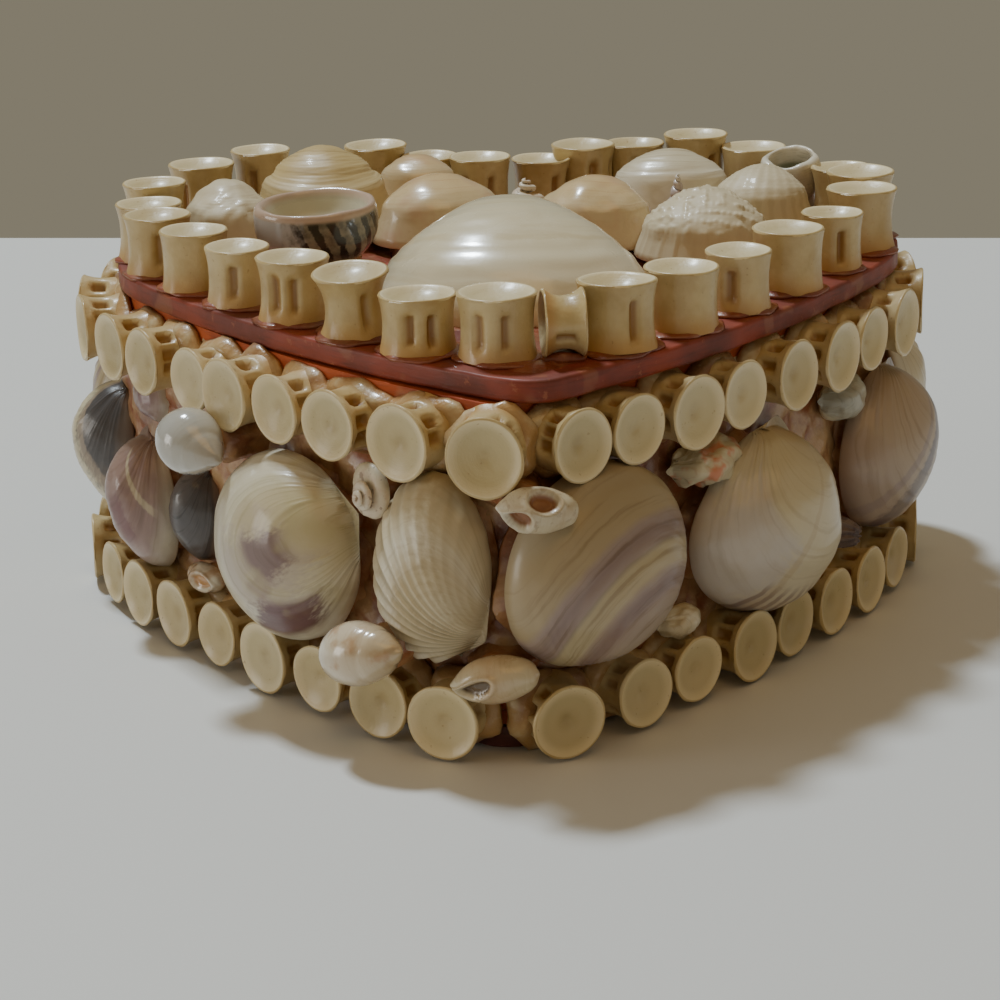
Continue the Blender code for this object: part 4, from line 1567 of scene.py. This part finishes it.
BANDED_TAN = ShellFinish(
    "tan_with_mauve_bands", ((0.08, (0.36, 0.28, 0.22)), (0.30, (0.40, 0.31, 0.25)),
    (0.345, (0.38, 0.28, 0.23)), (0.37, (0.28, 0.19, 0.165)), (0.41, (0.255, 0.17, 0.15)),
    (0.44, (0.32, 0.23, 0.19)), (0.465, (0.40, 0.30, 0.22)), (0.485, (0.49, 0.40, 0.25)),
    (0.570, (0.46, 0.37, 0.22)), (0.59, (0.32, 0.25, 0.18)), (0.60, (0.34, 0.25, 0.21)),
    (0.65, (0.27, 0.19, 0.17)), (0.70, (0.35, 0.26, 0.22)), (0.73, (0.41, 0.315, 0.185)),
    (0.86, (0.40, 0.305, 0.175)), (1.0, (0.46, 0.38, 0.27))), lines=0.55, blotched=0.12, gloss=0.2,
    wander=0.015)
WHITE_CLAM = ShellFinish(
    "white_with_ticks", ((0.1, TAN), (0.3, (0.58, 0.48, 0.30)), (0.6, (0.60, 0.51, 0.33)),
    (0.85, (0.62, 0.55, 0.40)), (1.0, (0.64, 0.58, 0.44))),
    rays=(Ray(-0.30, 0.30, (0.50, 0.45, 0.46), 0.55, 0.62), Ray(-0.05, 0.03, TAN, 0.5, 0.2),
    Ray(0.15, 0.34, (0.40, 0.31, 0.28), 0.55, 0.93),
    *(Ray(0.02 + 0.055 * k, 0.02, (0.26, 0.18, 0.15), 0.85, 0.86) for k in range(-2, 8))), lines=0.25,
    blotched=0.2, gloss=0.3)
PLAIN_WHITE = ShellFinish(
    "plain_white", ((0.1, TAN), (0.35, (0.60, 0.50, 0.33)), (0.8, (0.66, 0.58, 0.41)), (1.0, PALE)),
    lines=0.5, blotched=0.15, gloss=0.25)
RAY_CLAM = ShellFinish(
    "tan_with_dark_ray", ((0.05, (0.44, 0.34, 0.26)), (0.3, (0.46, 0.35, 0.25)),
    (0.7, (0.44, 0.335, 0.235)), (1.0, (0.38, 0.28, 0.22))),
    rays=(Ray(0.52, 0.46, (0.40, 0.32, 0.29), 0.8), Ray(0.04, 0.09, (0.17, 0.12, 0.115)),
    Ray(-0.12, 0.04, (0.30, 0.22, 0.20), 0.6)), lines=0.35, gloss=0.2)
MAUVE_CLAM = ShellFinish(
    "mauve_with_cream", ((0.1, (0.28, 0.18, 0.15)), (0.35, (0.31, 0.205, 0.175)),
    (0.6, (0.28, 0.175, 0.155)), (0.9, (0.34, 0.23, 0.20)), (0.97, (0.50, 0.42, 0.33)), (1.0, PALE)),
    rays=(Ray(-0.62, 0.22, CREAM, 0.85, 0.45), Ray(0.42, 0.03, CREAM, 0.7, 0.3, 0.9),
    Ray(0.12, 0.14, PLUM, 0.9, 0.5, 0.8), Ray(-0.25, 0.14, PLUM, 0.7, 0.55, 0.85)), lines=0.3, gloss=0.35)
SLATE_CLAM = ShellFinish(
    "dark_slate", ((0.1, (0.14, 0.11, 0.10)), (0.6, SLATE), (0.95, (0.10, 0.085, 0.08)),
    (1.0, (0.30, 0.22, 0.17))), blotch=(0.13, 0.10, 0.09), lines=0.5, gloss=0.35, roughness=0.32)
CREST_CLAM = ShellFinish(
    "cream_crest_over_slate", ((0.1, SLATE), (0.92, SLATE), (1.0, (0.24, 0.19, 0.16))),
    rays=(Ray(0.04, 0.26, CREAM), Ray(0.28, 0.07, (0.45, 0.35, 0.25), 0.6), Ray(-0.5, 0.2, CREAM, 0.8)),
    blotch=(0.13, 0.10, 0.09), lines=0.3, gloss=0.35)
TAN_SHELL = ShellFinish(
    "tan_shell", ((0.1, (0.60, 0.46, 0.22)), (0.5, (0.55, 0.40, 0.17)), (0.8, (0.57, 0.43, 0.20)),
    (1.0, (0.60, 0.47, 0.25))), lines=0.5, blotched=0.15, gloss=0.15, roughness=0.42)
IVORY = ShellFinish(
    "ivory_clam", ((0.1, (0.65, 0.54, 0.33)), (0.4, (0.74, 0.65, 0.43)), (0.75, (0.76, 0.67, 0.46)),
    (1.0, (0.79, 0.71, 0.51))), blotch=(0.80, 0.73, 0.58), lines=0.50, line_count=24, blotched=0.15,
    gloss=0.85, roughness=0.24, bump=0.03)
PEACH_SHELL = ShellFinish(
    "peach_shell", ((0.1, (0.64, 0.33, 0.12)), (0.45, (0.68, 0.45, 0.20)), (0.8, (0.68, 0.51, 0.27)),
    (1.0, (0.68, 0.55, 0.34))), blotch=(0.60, 0.33, 0.20), blotched=0.35, lines=0.25, gloss=0.7,
    roughness=0.26)
MOTTLED = ShellFinish(
    "mottled_pearl", ((0.0, PALE), (0.5, (0.66, 0.55, 0.40)), (1.0, TAN)), blotch=(0.45, 0.24, 0.10),
    blotched=0.65, blotch_size=4.0, lines=0.1, gloss=0.9, roughness=0.2)
OLIVE_SHELL = ShellFinish(
    "peach_olive", ((0.0, CREAM), (0.5, (0.58, 0.43, 0.26)), (1.0, CREAM)), blotch=(0.52, 0.33, 0.17),
    blotched=0.4, lines=0.15, gloss=0.6, roughness=0.26, inner_colour_and_shade=(0.16, 0.10, 0.05))
PEARL = ShellFinish(
    "pearl_drop", ((0.0, (0.46, 0.44, 0.39)), (0.6, (0.48, 0.46, 0.41)), (1.0, (0.38, 0.32, 0.24))),
    blotch=(0.42, 0.42, 0.41), blotched=0.3, lines=0.08, gloss=1.0, roughness=0.14)
CHALK = ShellFinish(
    "chalky_white", ((0.0, PALE), (0.6, (0.68, 0.58, 0.44)), (1.0, CREAM)), blotch=(0.50, 0.28, 0.18),
    blotched=0.35, blotch_size=2.5, lines=0.15, specked=0.6, gloss=0.15, roughness=0.5,
    inner_colour_and_shade=(0.30, 0.12, 0.05))
SLIT_SHELL = ShellFinish(
    "slit_shell", ((0.0, CREAM), (0.3, (0.56, 0.46, 0.30)), (0.7, (0.62, 0.53, 0.37)), (1.0, PALE)),
    blotch=(0.42, 0.27, 0.14), blotched=0.3, blotch_size=2.5, lines=0.2, specked=0.25, gloss=0.25,
    inner_colour_and_shade=(0.30, 0.12, 0.04))
CORAL = ShellFinish(
    "chalk_with_red", ((0.0, CREAM), (1.0, CREAM)), blotch=(0.66, 0.16, 0.06), blotched=0.75,
    blotch_size=3.4, lines=0.2, gloss=0.15, roughness=0.5)
BARNACLE = ShellFinish(
    "grey_barnacle", ((0.0, (0.30, 0.24, 0.20)), (1.0, (0.16, 0.12, 0.12))), blotch=(0.08, 0.05, 0.07),
    blotched=0.7, blotch_size=1.5, lines=0.2, inner_colour_and_shade=(0.03, 0.02, 0.02), gloss=0.1, roughness=0.6)
GREY_SHELL = ShellFinish(
    "grey_green", ((0.1, (0.34, 0.32, 0.25)), (0.6, (0.42, 0.39, 0.30)), (1.0, CREAM)),
    blotch=(0.20, 0.19, 0.15), blotched=0.4, blotch_size=3.5, lines=0.3, gloss=0.3)
CUP = ShellFinish(
    "worm_cup", ((0.0, CREAM), (0.7, (0.50, 0.45, 0.36)), (1.0, PALE)), blotch=(0.36, 0.33, 0.28),
    blotched=0.35, inner_colour_and_shade=(0.17, 0.17, 0.09), gloss=0.3)
PURPLE = ShellFinish(
    "purple_tip", ((0.0, PALE), (0.5, (0.55, 0.46, 0.46)), (1.0, (0.42, 0.30, 0.36))),
    blotch=(0.34, 0.22, 0.28), blotched=0.5, blotch_size=2.5, gloss=0.5)
GRANULAR = ShellFinish(
    "granular_cream", ((0.1, TAN), (0.4, (0.60, 0.50, 0.32)), (1.0, (0.66, 0.57, 0.39))), blotched=0.2,
    lines=0.1, gloss=0.1, roughness=0.5, valley_shade_and_grime=(0.56, 0.47, 0.30))
NERITE = StripedFinish()
SHELL_GLUE = GlueFinish("shell_glue", (0.30, 0.10, 0.035), (0.50, 0.27, 0.12), (0.13, 0.035, 0.018))


# --- shells and where they sit

@dataclass(frozen=True)
class Seat:
    """A shell, its station and height on the wall or X and Y on the lid, and how it is turned."""

    name: str
    slot: str
    finish: Finish
    form: Form
    across: float
    up: float
    turn: float = 0.0
    out: float = 0.0
    yaw: float = 0.0
    nod: float = 0.0

    def build(self, stand: Stand) -> bpy.types.Object:
        """Makes the shell with the glue that holds it.

        Args:
            stand: whether it sits on the wall or the lid.

        Returns:
            The shell's piece.
        """
        place = LAYOUT.wall_place if stand is Stand.WALL else LAYOUT.lid_place
        lift = LAYOUT.gap + self.out + self.form.bed
        skins = [self.form.skin()]
        if not isinstance(self.form, Valve) or self.out > 1.0:
            skins.append(self._prop())
        seat = place(self.across, self.up, lift, self.yaw, self.nod, self.turn)
        skin = Skin.joined(skins).moved(seat)
        return skin.piece(self.name, (self.finish, SHELL_GLUE), self.slot, (self.name,))

    def _prop(self) -> Skin:
        """The lump of glue under a shell that doesn't lie on its edge."""
        form = self.form
        lying = isinstance(form, Valve) or isinstance(form, Turned) and form.lying
        long = form.length if isinstance(form, Valve) else form.height
        wide, deep = form.width * PROP_SHARE, (long if lying else form.width) * PROP_SHARE
        around = turns(PROP_SIDES)
        foot = self.out + LAYOUT.gap
        profile = ((0.7, form.width * 0.22), (0.95, 0.2), (0.9, -0.4 * foot), (1.0, -0.8 * foot),
                   (1.2, -foot), (1.2, -foot - GLUE_SUNK))
        plan = np.column_stack([wide * np.cos(around), deep * np.sin(around)])
        return lump(plan, profile, ((0.06, 3, form.seed), (0.04, 7, 0)))


SNAIL = ((0, 0), (0.66, 0.05), (1, 0.36), (0.76, 0.7), (0.3, 0.92), (0, 1))
DROP = ((0, 0), (0.6, 0.02), (1, 0.3), (0.9, 0.56), (0.46, 0.8), (0.2, 0.93), (0, 1))
SPINDLE = ((0, 0), (0.6, 0.08), (1, 0.45), (0.72, 0.8), (0, 1))
CONE = ((0, 0), (1, 0), (0.5, 1), (0.3, 1), (0, 0.7))
CUP_LINE = ((0, 0), (0.6, 0), (0.95, 0.5), (1, 0.86), (0.93, 1), (0.70, 0.98), (0.60, 0.7), (0.4, 0.5),
            (0, 0.45))
NERITE_LINE = ((0, 0), (0.62, 0.03), (0.96, 0.36), (1, 0.74), (0.97, 0.97), (0.88, 1.0), (0.80, 0.86),
               (0.62, 0.52), (0, 0.36))

SMALL = {"sides": 56, "rings": 30}
FINE_RIDGES = Relief(ridges=30, ridge=0.06)

WALL_SHELLS = (
    Seat("cockle", "cream_shell", COCKLE, Valve(26.6, 24, 0.8, -0.3, bed=3, blunt=0.9,
        relief=Relief(24, 0.44, 20, 0.05, lumps=0.1, calm=0.85), sides=240, rings=72), -10.7, 24.6, -121),
    Seat("cream_banded_clam", "cream_shell", BANDED_CREAM, Valve(30, 34.0, 1.0, bed=4, blunt=0.95,
        relief=FINE_RIDGES, sides=120, rings=90, seed=3), -38.3, 25.9, -62),
    Seat("slate_clam", "slate_shell", SLATE_CLAM, Valve(11.5, 17, 0.9, relief=Relief(ridges=14), **SMALL),
        -69.8, 22.4),
    Seat("pearl_snail", "pearl_snail", PEARL, Turned(DROP, 11, 14, whorls=2.5, groove=0.12, lumps=0.06),
        -53.2, 39.8, -100, 6),
    Seat("mauve_clam", "mauve_shell", MAUVE_CLAM, Valve(14.2, 24, 0.9, bed=3,
        relief=Relief(ridges=18, ridge=0.09), seed=5), -81.4, 22.5, 10),
    Seat("taupe_clam", "tan_shell", MAUVE_CLAM, Valve(8, 11, 1.0, seed=6, **SMALL), -85.5, 38.4, 75),
    Seat("beige_snail", "peach_shell", MOTTLED, Turned(SPINDLE, 5.0, 10.5,
        openings=(Opening(262, 0.35, 42, 0.24, 0.9, 0.25),), whorls=2, groove=0.15), -65.5, 12.9, 90, 1),
    Seat("far_left_clam", "slate_shell", CREST_CLAM, Valve(17.0, 25, 0.8,
        relief=Relief(ridges=16, ridge=0.1, lip=1.5), seed=7), -104.5, 25.6),
    Seat("speckled_snail", "coral", CHALK, Coiled(8.6, 6.8, 3.4, 1.9, start=200), -19.6, 38.8, 0, 3.5),
    Seat("mottled_snail", "peach_shell", MOTTLED, Turned(SNAIL, 10.6, 15.5, whorls=2.5, groove=0.18), -14.8,
        16.4, -75, 8.4),
    Seat("slit_shell", "cream_shell", SLIT_SHELL, Turned(SPINDLE, 7.4, 12.6,
        openings=(Opening(308, 0.50, 34, 0.20, 1.5, 0.3), Opening(238, 0.76, 36, 0.15, 1.3, 0.4)),
        lumps=0.2), 1.6, 40.6, 80, 6.6, 4),
    Seat("olive_shell", "peach_shell", OLIVE_SHELL, Turned(SPINDLE, 7.8, 13.6,
        openings=(Opening(262, 0.70, 26, 0.21, 1.2, 0.35, -14),)), -0.9, 13.9, 100, 3.6),
    Seat("tan_banded_clam", "tan_shell", BANDED_TAN, Valve(33.5, 32, 0.85, bed=4, blunt=0.95, fanned=0.7,
        relief=FINE_RIDGES, sides=128, rings=96, seed=8), 11.8, 27.4, -156),
    Seat("coral_piece", "coral", CORAL, Valve(7.5, 16, 0.9, relief=Relief(ragged=0.45, lumps=0.7), seed=9,
        **SMALL), 37.4, 37.6, 90, 2),
    Seat("white_clam", "cream_shell", WHITE_CLAM, Valve(33, 31.4, 0.8, flare=-0.25, bed=4, blunt=0.8,
        relief=Relief(ridges=26, ridge=0.05, lumps=0.35), sides=128, rings=90, seed=10), 49.6, 26.3, -20),
    Seat("grey_clam", "tan_shell", GREY_SHELL, Valve(8, 14, 1.0, relief=Relief(ragged=0.25, lumps=0.4),
        seed=11, **SMALL), 77.3, 38.1, 82, 2),
    Seat("beige_clam", "cream_shell", COCKLE, Valve(5.4, 9.5, 1.0, relief=Relief(lumps=0.3), seed=12,
        **SMALL), 31.0, 13.4, 90, 3),
    Seat("barnacle", "coral", BARNACLE, Turned(CONE, 5.8, 4, lying=False, flutes=9, flute=0.3), 76.0, 15.3,
        0, 3),
    Seat("ray_clam", "mauve_shell", RAY_CLAM, Valve(28, 29.5, 0.9, flare=-0.15, bed=2.4, blunt=0.8,
        relief=FINE_RIDGES, sides=112, rings=80, seed=13), 92, 26.8, -30),
    Seat("right_lobe_clam_1", "cream_shell", PLAIN_WHITE, Valve(27, 30, 0.95, bed=3, relief=FINE_RIDGES,
        seed=14), 124, 26.9, 8),
    Seat("right_lobe_clam_2", "tan_shell", TAN_SHELL, Valve(25, 28, 1.0,
        relief=Relief(ridges=18, ridge=0.14), seed=15), 151.5, 26.9, -12),
    Seat("right_lobe_cockle", "cream_shell", COCKLE, Valve(20, 28, 0.8, relief=Relief(22, 0.3, 20, 0.05),
        sides=154, rings=44, seed=16), 175, 26.9, 6),
    Seat("left_lobe_clam_1", "tan_shell", BANDED_TAN, Valve(26, 30, 0.95, bed=3, relief=FINE_RIDGES,
        seed=17), -129, 26.9, -10),
    Seat("left_lobe_clam_2", "cream_shell", BANDED_CREAM, Valve(25, 28, 1.0, relief=FINE_RIDGES, seed=18),
        -155.5, 26.9, 12),
    Seat("left_lobe_cockle", "cream_shell", COCKLE, Valve(18.5, 28, 0.8, relief=Relief(22, 0.3, 20, 0.05),
        sides=154, rings=44, seed=19), -178, 26.9, -6),
    Seat("notch_snail_low", "peach_shell", MOTTLED, Coiled(8, 7.4, start=40), 196, 19, 0, 2),
    Seat("notch_snail_high", "coral", CHALK, Coiled(8, 7.4, start=150, seed=2), 196, 35, 0, 2),
)

LID_SHELLS = (
    Seat("lid_ivory_clam", "ivory_shell", IVORY, Valve(44, 42.5, 1.0, flare=-0.05, swell=0.92, blunt=0.15,
        relief=Relief(ridges=24, ridge=0.11, lumps=0.2, lip=1.4), sides=128, rings=80, seed=20), -0.5, -12),
    Seat("lid_zebra_nerite", "zebra_snail", NERITE, Turned(NERITE_LINE, 20.6, 10.2, 17, False, stripes=20,
        twist=9, lumps=0.3), -31.2, 6, 0, 2.6, -2, 5),
    Seat("lid_tan_clam", "tan_shell", TAN_SHELL, Valve(21.4, 21, 1.0, bed=7, blunt=0.2, skirt=4.5,
        relief=Relief(ridges=15, ridge=0.24), seed=21), -30.6, 33.5, 0, 1.5, 0, 10),
    Seat("lid_rough_clam", "cream_shell", GRANULAR, Valve(15, 18, 1.0, bed=6, blunt=0.3, skirt=4,
        relief=Relief(ridges=11, ridge=0.25, ragged=0.3), seed=22), -46.8, 26, 12),
    Seat("lid_orange_clam", "peach_shell", PEACH_SHELL, Valve(20.5, 16.5, 0.9, bed=6.6, blunt=0.35,
        skirt=4.6, relief=Relief(ridge=0.04), seed=23), -10.6, 24, 12),
    Seat("lid_peach_clam", "peach_shell", PEACH_SHELL, Valve(13, 10.5, 1.0, bed=9.6, blunt=0.3, skirt=5,
        relief=Relief(ridge=0.04), seed=24, **SMALL), -14, 39),
    Seat("lid_small_snail", "coral", CHALK, Coiled(9, 9.5, start=-60, seed=3), 4.6, 33.5),
    Seat("lid_orange_peach_clam", "peach_shell", PEACH_SHELL, Valve(19.5, 16.5, 0.9, bed=6.2, blunt=0.3,
        skirt=4.6, relief=Relief(ridge=0.04, lumps=0.4), seed=25), 15.6, 20, -8),
    Seat("lid_peach_snail", "peach_shell", PEACH_SHELL, Coiled(6.4, 9.5, start=30, seed=4), 16.5, 36),
    Seat("lid_grey_white_clam", "cream_shell", PLAIN_WHITE, Valve(20, 15.5, 1.0, bed=7.6, blunt=0.3,
        skirt=5, relief=FINE_RIDGES, seed=26), 30.8, 38.6),
    Seat("lid_purple_snail", "mauve_shell", PURPLE, Coiled(5, 11, 4.2, 1.7, start=10, seed=5), 31.2, 27),
    Seat("lid_bumpy_clam", "cream_shell", GRANULAR, Valve(21.0, 19, 0.95, bed=4.8, blunt=0.2, skirt=3.6,
        relief=Relief(ridges=18, ridge=0.03, grains=0.34), sides=200, rings=90, seed=27), 33.4, 9.5, -10),
    Seat("lid_beige_clam", "tan_shell", GRANULAR, Valve(16.5, 17, 1.0, bed=6.6, blunt=0.3, skirt=4.6,
        relief=Relief(24, 0.03, 16, 0.05, grains=0.05), sides=140, rings=70, seed=28), 45.0, 24.5, -18),
    Seat("lid_cup", "cream_shell", CUP, Turned(CUP_LINE, 10.6, 11.4, lying=False, lumps=0.35, flutes=3,
        flute=0.25, hollow=True), 53.8, 42.6, 0, 0, -8, 14),
)


# --- boards and glue

LID_FINISH = BoardFinish("stained_lid", (0.32, 0.046, 0.017), (0.15, 0.024, 0.011), (0.40, 0.13, 0.06),
                         (0.36, 0.13, 0.05), 0.35)
# The floor board has the lid's stain, painted darker: painted shade under the bottom row.
SHADED_FLOOR_FINISH = BoardFinish("stained_floor_painted_shade", (0.16, 0.035, 0.022), (0.09, 0.02, 0.014), (0.30, 0.12, 0.07),
                           (0.2, 0.07, 0.03), 0.3)
WALL_FINISH = BoardFinish("orange_wall", (0.62, 0.12, 0.025), (0.42, 0.07, 0.016), (0.62, 0.36, 0.18),
                          (0.55, 0.33, 0.16), 0.3)
WALL_GLUE = GlueFinish("wall_glue", (0.30, 0.095, 0.032), (0.50, 0.30, 0.14), (0.15, 0.04, 0.018), 0.3)
RESIDUE = GlueFinish("glue_residue", (0.60, 0.42, 0.22), (0.66, 0.54, 0.34), (0.50, 0.22, 0.08), 0.4)


HEART_MIDDLE = np.array([0.0, 2.0])
FACE_SHARES = (0.05, 0.4, 0.75, 0.95)
EDGE_RINGS = 6


@dataclass(frozen=True)
class Board:
    """A heart of thin board with softened edges that were cut by hand."""

    name: str
    finish: Finish
    low: float
    high: float
    out: float
    pose: Matrix
    rounding: float = 0.6
    wander: float = 0.2
    steps: int = 320
    seed: int = 1

    def outline(self, out: float) -> np.ndarray:
        """The heart with the hand-cut edge's small waves.

        Args:
            out: how far out from the wall.

        Returns:
            The outline's points in plan.
        """
        half = LAYOUT.half_round()
        stations = (np.arange(self.steps) / self.steps * 2 - 1) * half
        along = LAYOUT.on_wall if self.pose == Matrix.Identity(4) else LAYOUT.on_lid
        points = np.array([along(float(at), out)[0] for at in stations])
        return points * (1 + self.wander / 60 * ripple(points, 26.0, self.seed)[:, None])

    def build(self) -> bpy.types.Object:
        """Makes the board.

        Returns:
            The board's piece.
        """
        edge = self.outline(self.out)
        quarter = np.linspace(0, math.pi / 2, EDGE_RINGS)
        rings = [self._ring(edge, share, self.low) for share in FACE_SHARES]
        rings += [self._edge_ring(edge, angle - math.pi / 2, self.low + self.rounding) for angle in quarter]
        rings += [self._edge_ring(edge, angle, self.high - self.rounding) for angle in quarter]
        rings += [self._ring(edge, share, self.high) for share in FACE_SHARES[::-1]]
        grid = np.stack(rings)
        flat = len(FACE_SHARES)
        grid[flat:-flat, :, 2] += 0.10 * ripple(grid[flat:-flat], 9.0, self.seed + 1)
        grid[..., 2] = np.maximum(grid[..., 2], self.low)
        return Skin.from_rings(grid).moved(self.pose).piece(self.name, (self.finish,), "board", (self.name,))

    def _ring(self, edge: np.ndarray, share: Union[float, np.ndarray], height: float) -> np.ndarray:
        """The board's edge drawn in towards its middle, at a height."""
        return np.column_stack([HEART_MIDDLE + (edge - HEART_MIDDLE) * share, np.full(self.steps, height)])

    def _edge_ring(self, edge: np.ndarray, angle: float, height: float) -> np.ndarray:
        """One ring of the rounded edge, at an angle above the horizontal."""
        inset = self.rounding * (1 - math.cos(angle))
        size = np.linalg.norm(edge - HEART_MIDDLE, axis=-1, keepdims=True)
        return self._ring(edge, 1 - inset / size, height + self.rounding * math.sin(angle))


@dataclass(frozen=True)
class WallGlue:
    """The glue spread over the wall between the rows, and what is left of it on the strip under the lid.

    Its two ends stop at the heart's notch, each a seam's width short of it.
    """

    name: str = "wall_glue"
    low: float = 8.0
    high: float = 52.6
    step: float = 1.15
    strip: float = 49.6
    seam: float = 0.3

    def build(self) -> bpy.types.Object:
        """Makes the sheet of glue.

        Returns:
            The piece.
        """
        half = LAYOUT.half_round()
        stations = np.linspace(-half + self.seam, half - self.seam, int(2 * half / self.step))
        heights = np.linspace(self.low, self.high, int((self.high - self.low) / self.step))
        places = [LAYOUT.on_wall(float(at)) for at in stations]
        base = np.array([[p.x, p.y, 0.0] for p, _ in places])
        outward = np.array([[o.x, o.y, 0.0] for _, o in places])
        flat = np.stack(np.meshgrid(stations, heights, indexing="ij"), axis=-1)
        thick = 0.7 + 0.9 * ripple(flat, 13.0, 4) + 0.35 * ripple(flat, 3.5, 5)
        edge = smooth(flat[..., 1], self.low, self.low + 3)
        edge *= smooth(flat[..., 1], self.strip + 0.8, self.strip - 1.6)
        strip = 0.55 * ripple(flat, 7.0, 6) - 0.55 * smooth(flat[..., 1], self.strip + 0.3, self.high)
        thick = np.clip(thick, 0.12, 2.2) * edge + strip * (1 - edge)
        grid = base[:, None, :] + outward[:, None, :] * thick[..., None]
        grid[..., 2] = flat[..., 1]
        skin = Skin.sheet(grid, outward[len(outward) // 2], smooth(thick, 0.2, 1.6))
        skin.finish = np.tile(heights[:-1] > self.strip - 1.2, len(stations) - 1).astype(int)
        return skin.piece(self.name, (WALL_GLUE, RESIDUE), "orange_board", ())


@dataclass(frozen=True)
class LidGlue:
    """The glue and stain that lie uneven on the lid between its shells."""

    name: str = "lid_glue"
    inset: float = 2.5
    steps: int = 240
    rings: int = 38

    def build(self) -> bpy.types.Object:
        """Makes the sheet of glue.

        Returns:
            The piece.
        """
        half = LAYOUT.half_round()
        stations = (np.arange(self.steps + 1) / self.steps * 2 - 1) * half
        edge = np.array([LAYOUT.on_lid(float(at), -self.inset)[0] for at in stations])
        shares = np.linspace(0.02, 1.0, self.rings)[:, None, None]
        flat = HEART_MIDDLE + (edge - HEART_MIDDLE) * shares
        thick = np.clip(0.25 + 0.7 * ripple(flat, 16.0, 12) + 0.25 * ripple(flat, 4.0, 13), -0.3, 1.6)
        thick = thick * smooth(shares[..., 0], 1.0, 0.93) - 0.12 * smooth(shares[..., 0], 0.93, 1.0)
        grid = np.concatenate([flat, (LAYOUT.lid_top + thick)[..., None]], axis=-1)
        skin = Skin.sheet(grid, UP, smooth(thick, 0.2, 1.2))
        return skin.moved(LAYOUT.lid_pose).piece(self.name, (LID_GLUE,), "board", ())


# --- studio

@dataclass(frozen=True)
class Studio:
    """A pale floor, a dim plain surround, soft light from high behind the left, and the camera."""

    eye: Place = (-0.0004, -0.4473, 0.1641)
    aim: Place = (-0.0007, 0.0002, 0.019)
    roll: float = -1.2
    lens: float = 100.26
    floor_ends: tuple[float, float] = (0.572, 0.0026)
    floor_reach: float = 3.0
    floor_tint: Colour = (0.74, 0.74, 0.73)
    surround: Colour = (0.225, 0.203, 0.148)

    def build(self) -> None:
        """Makes the floor, the surround, the lights and the camera."""
        (left, right), far = self.floor_ends, self.floor_reach
        self._sheet("floor", ((-far, -far, 0), (far, -far, 0), (far, right, 0), (-far, left, 0)),
                    PlainFinish("pale_floor", self.floor_tint, 0.5))
        self._light("key", (-0.53, 0.80, 1.95), 0.24, 39.0, (0.80, 0.92, 1.0))
        self._light("left_fill", (-1.7, -0.35, 0.30), 0.6, 6.0, (1.0, 0.97, 0.9))
        self._light("warm_fill", (0.3, -1.0, 1.9), 1.2, 5.0, (1.0, 0.55, 0.15))
        world = bpy.data.worlds.new("surround")
        world.use_nodes = True
        sky = world.node_tree.nodes["Background"]
        sky.inputs["Color"].default_value = (*self.surround, 1.0)
        bpy.context.scene.world = world
        self._camera()

    @staticmethod
    def _sheet(name: str, corners: Sequence[Place], finish: Finish) -> None:
        """Makes one flat sheet of the studio, which isn't part of the object.

        Args:
            name: the sheet's name.
            corners: its four corners, in metres.
            finish: its finish.
        """
        mesh = bpy.data.meshes.new(name)
        mesh.from_pydata(corners, [], [(0, 1, 2, 3)])
        mesh.materials.append(finish.material())
        made = placed(name, mesh)

    @staticmethod
    def _light(name: str, place: Place, size: float, power: float, colour: Colour) -> None:
        """Makes one square soft light that looks at the box.

        Args:
            name: the light's name.
            place: where it hangs, in metres.
            size: its side, in metres.
            power: its power, in watts.
            colour: its colour.
        """
        lamp = bpy.data.lights.new(name, "AREA")
        lamp.size = size
        lamp.energy = power
        lamp.color = colour
        made = placed(name, lamp)
        made.location = place
        made.rotation_euler = (Vector(LIT) - Vector(place)).to_track_quat("-Z", "Y").to_euler()

    def _camera(self) -> None:
        """Makes the camera."""
        lens = bpy.data.cameras.new("camera")
        lens.lens = self.lens
        lens.sensor_width = 36.0
        lens.clip_start, lens.clip_end = 0.01, 20.0
        made = placed("camera", lens)
        eye, aim = Vector(self.eye), Vector(self.aim)
        look = (aim - eye).to_track_quat("-Z", "Y").to_matrix().to_4x4()
        made.matrix_world = Matrix.Translation(eye) @ look @ spin(self.roll, "Z")
        bpy.context.scene.camera = made


# --- the box

@dataclass(frozen=True)
class ShellBox:
    """The whole box: boards, glue, rows of vertebrae and shells."""

    floor_thick: float = 3.5

    def build(self) -> None:
        """Builds every piece in order."""
        flat = Matrix.Identity(4)
        Board("floor_board", SHADED_FLOOR_FINISH, 0.0, self.floor_thick, 0.0, flat, 0.3, seed=3).build()
        lid_low = LAYOUT.wall_top + LAYOUT.gap
        Board("lid_board", LID_FINISH, lid_low, LAYOUT.lid_top, LAYOUT.lid_overhang, LAYOUT.lid_pose,
              seed=5).build()
        self._dress_wall()
        WallGlue().build()
        LidGlue().build()
        for row in ROWS:
            row.build()
        LyingVertebra().build()
        for seat in WALL_SHELLS:
            seat.build(Stand.WALL)
        for seat in LID_SHELLS:
            seat.build(Stand.LID)

    @staticmethod
    def _dress_wall() -> None:
        """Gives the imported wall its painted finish."""
        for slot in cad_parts["wall"].material_slots:
            slot.material = WALL_FINISH.material()
        LOG.info("wall: dressed")


def main() -> None:
    """Builds the studio and the box."""
    logging.basicConfig(level=logging.INFO, format="%(name)s: %(message)s")
    Studio().build()
    ShellBox().build()


if __name__ == "__main__":
    main()
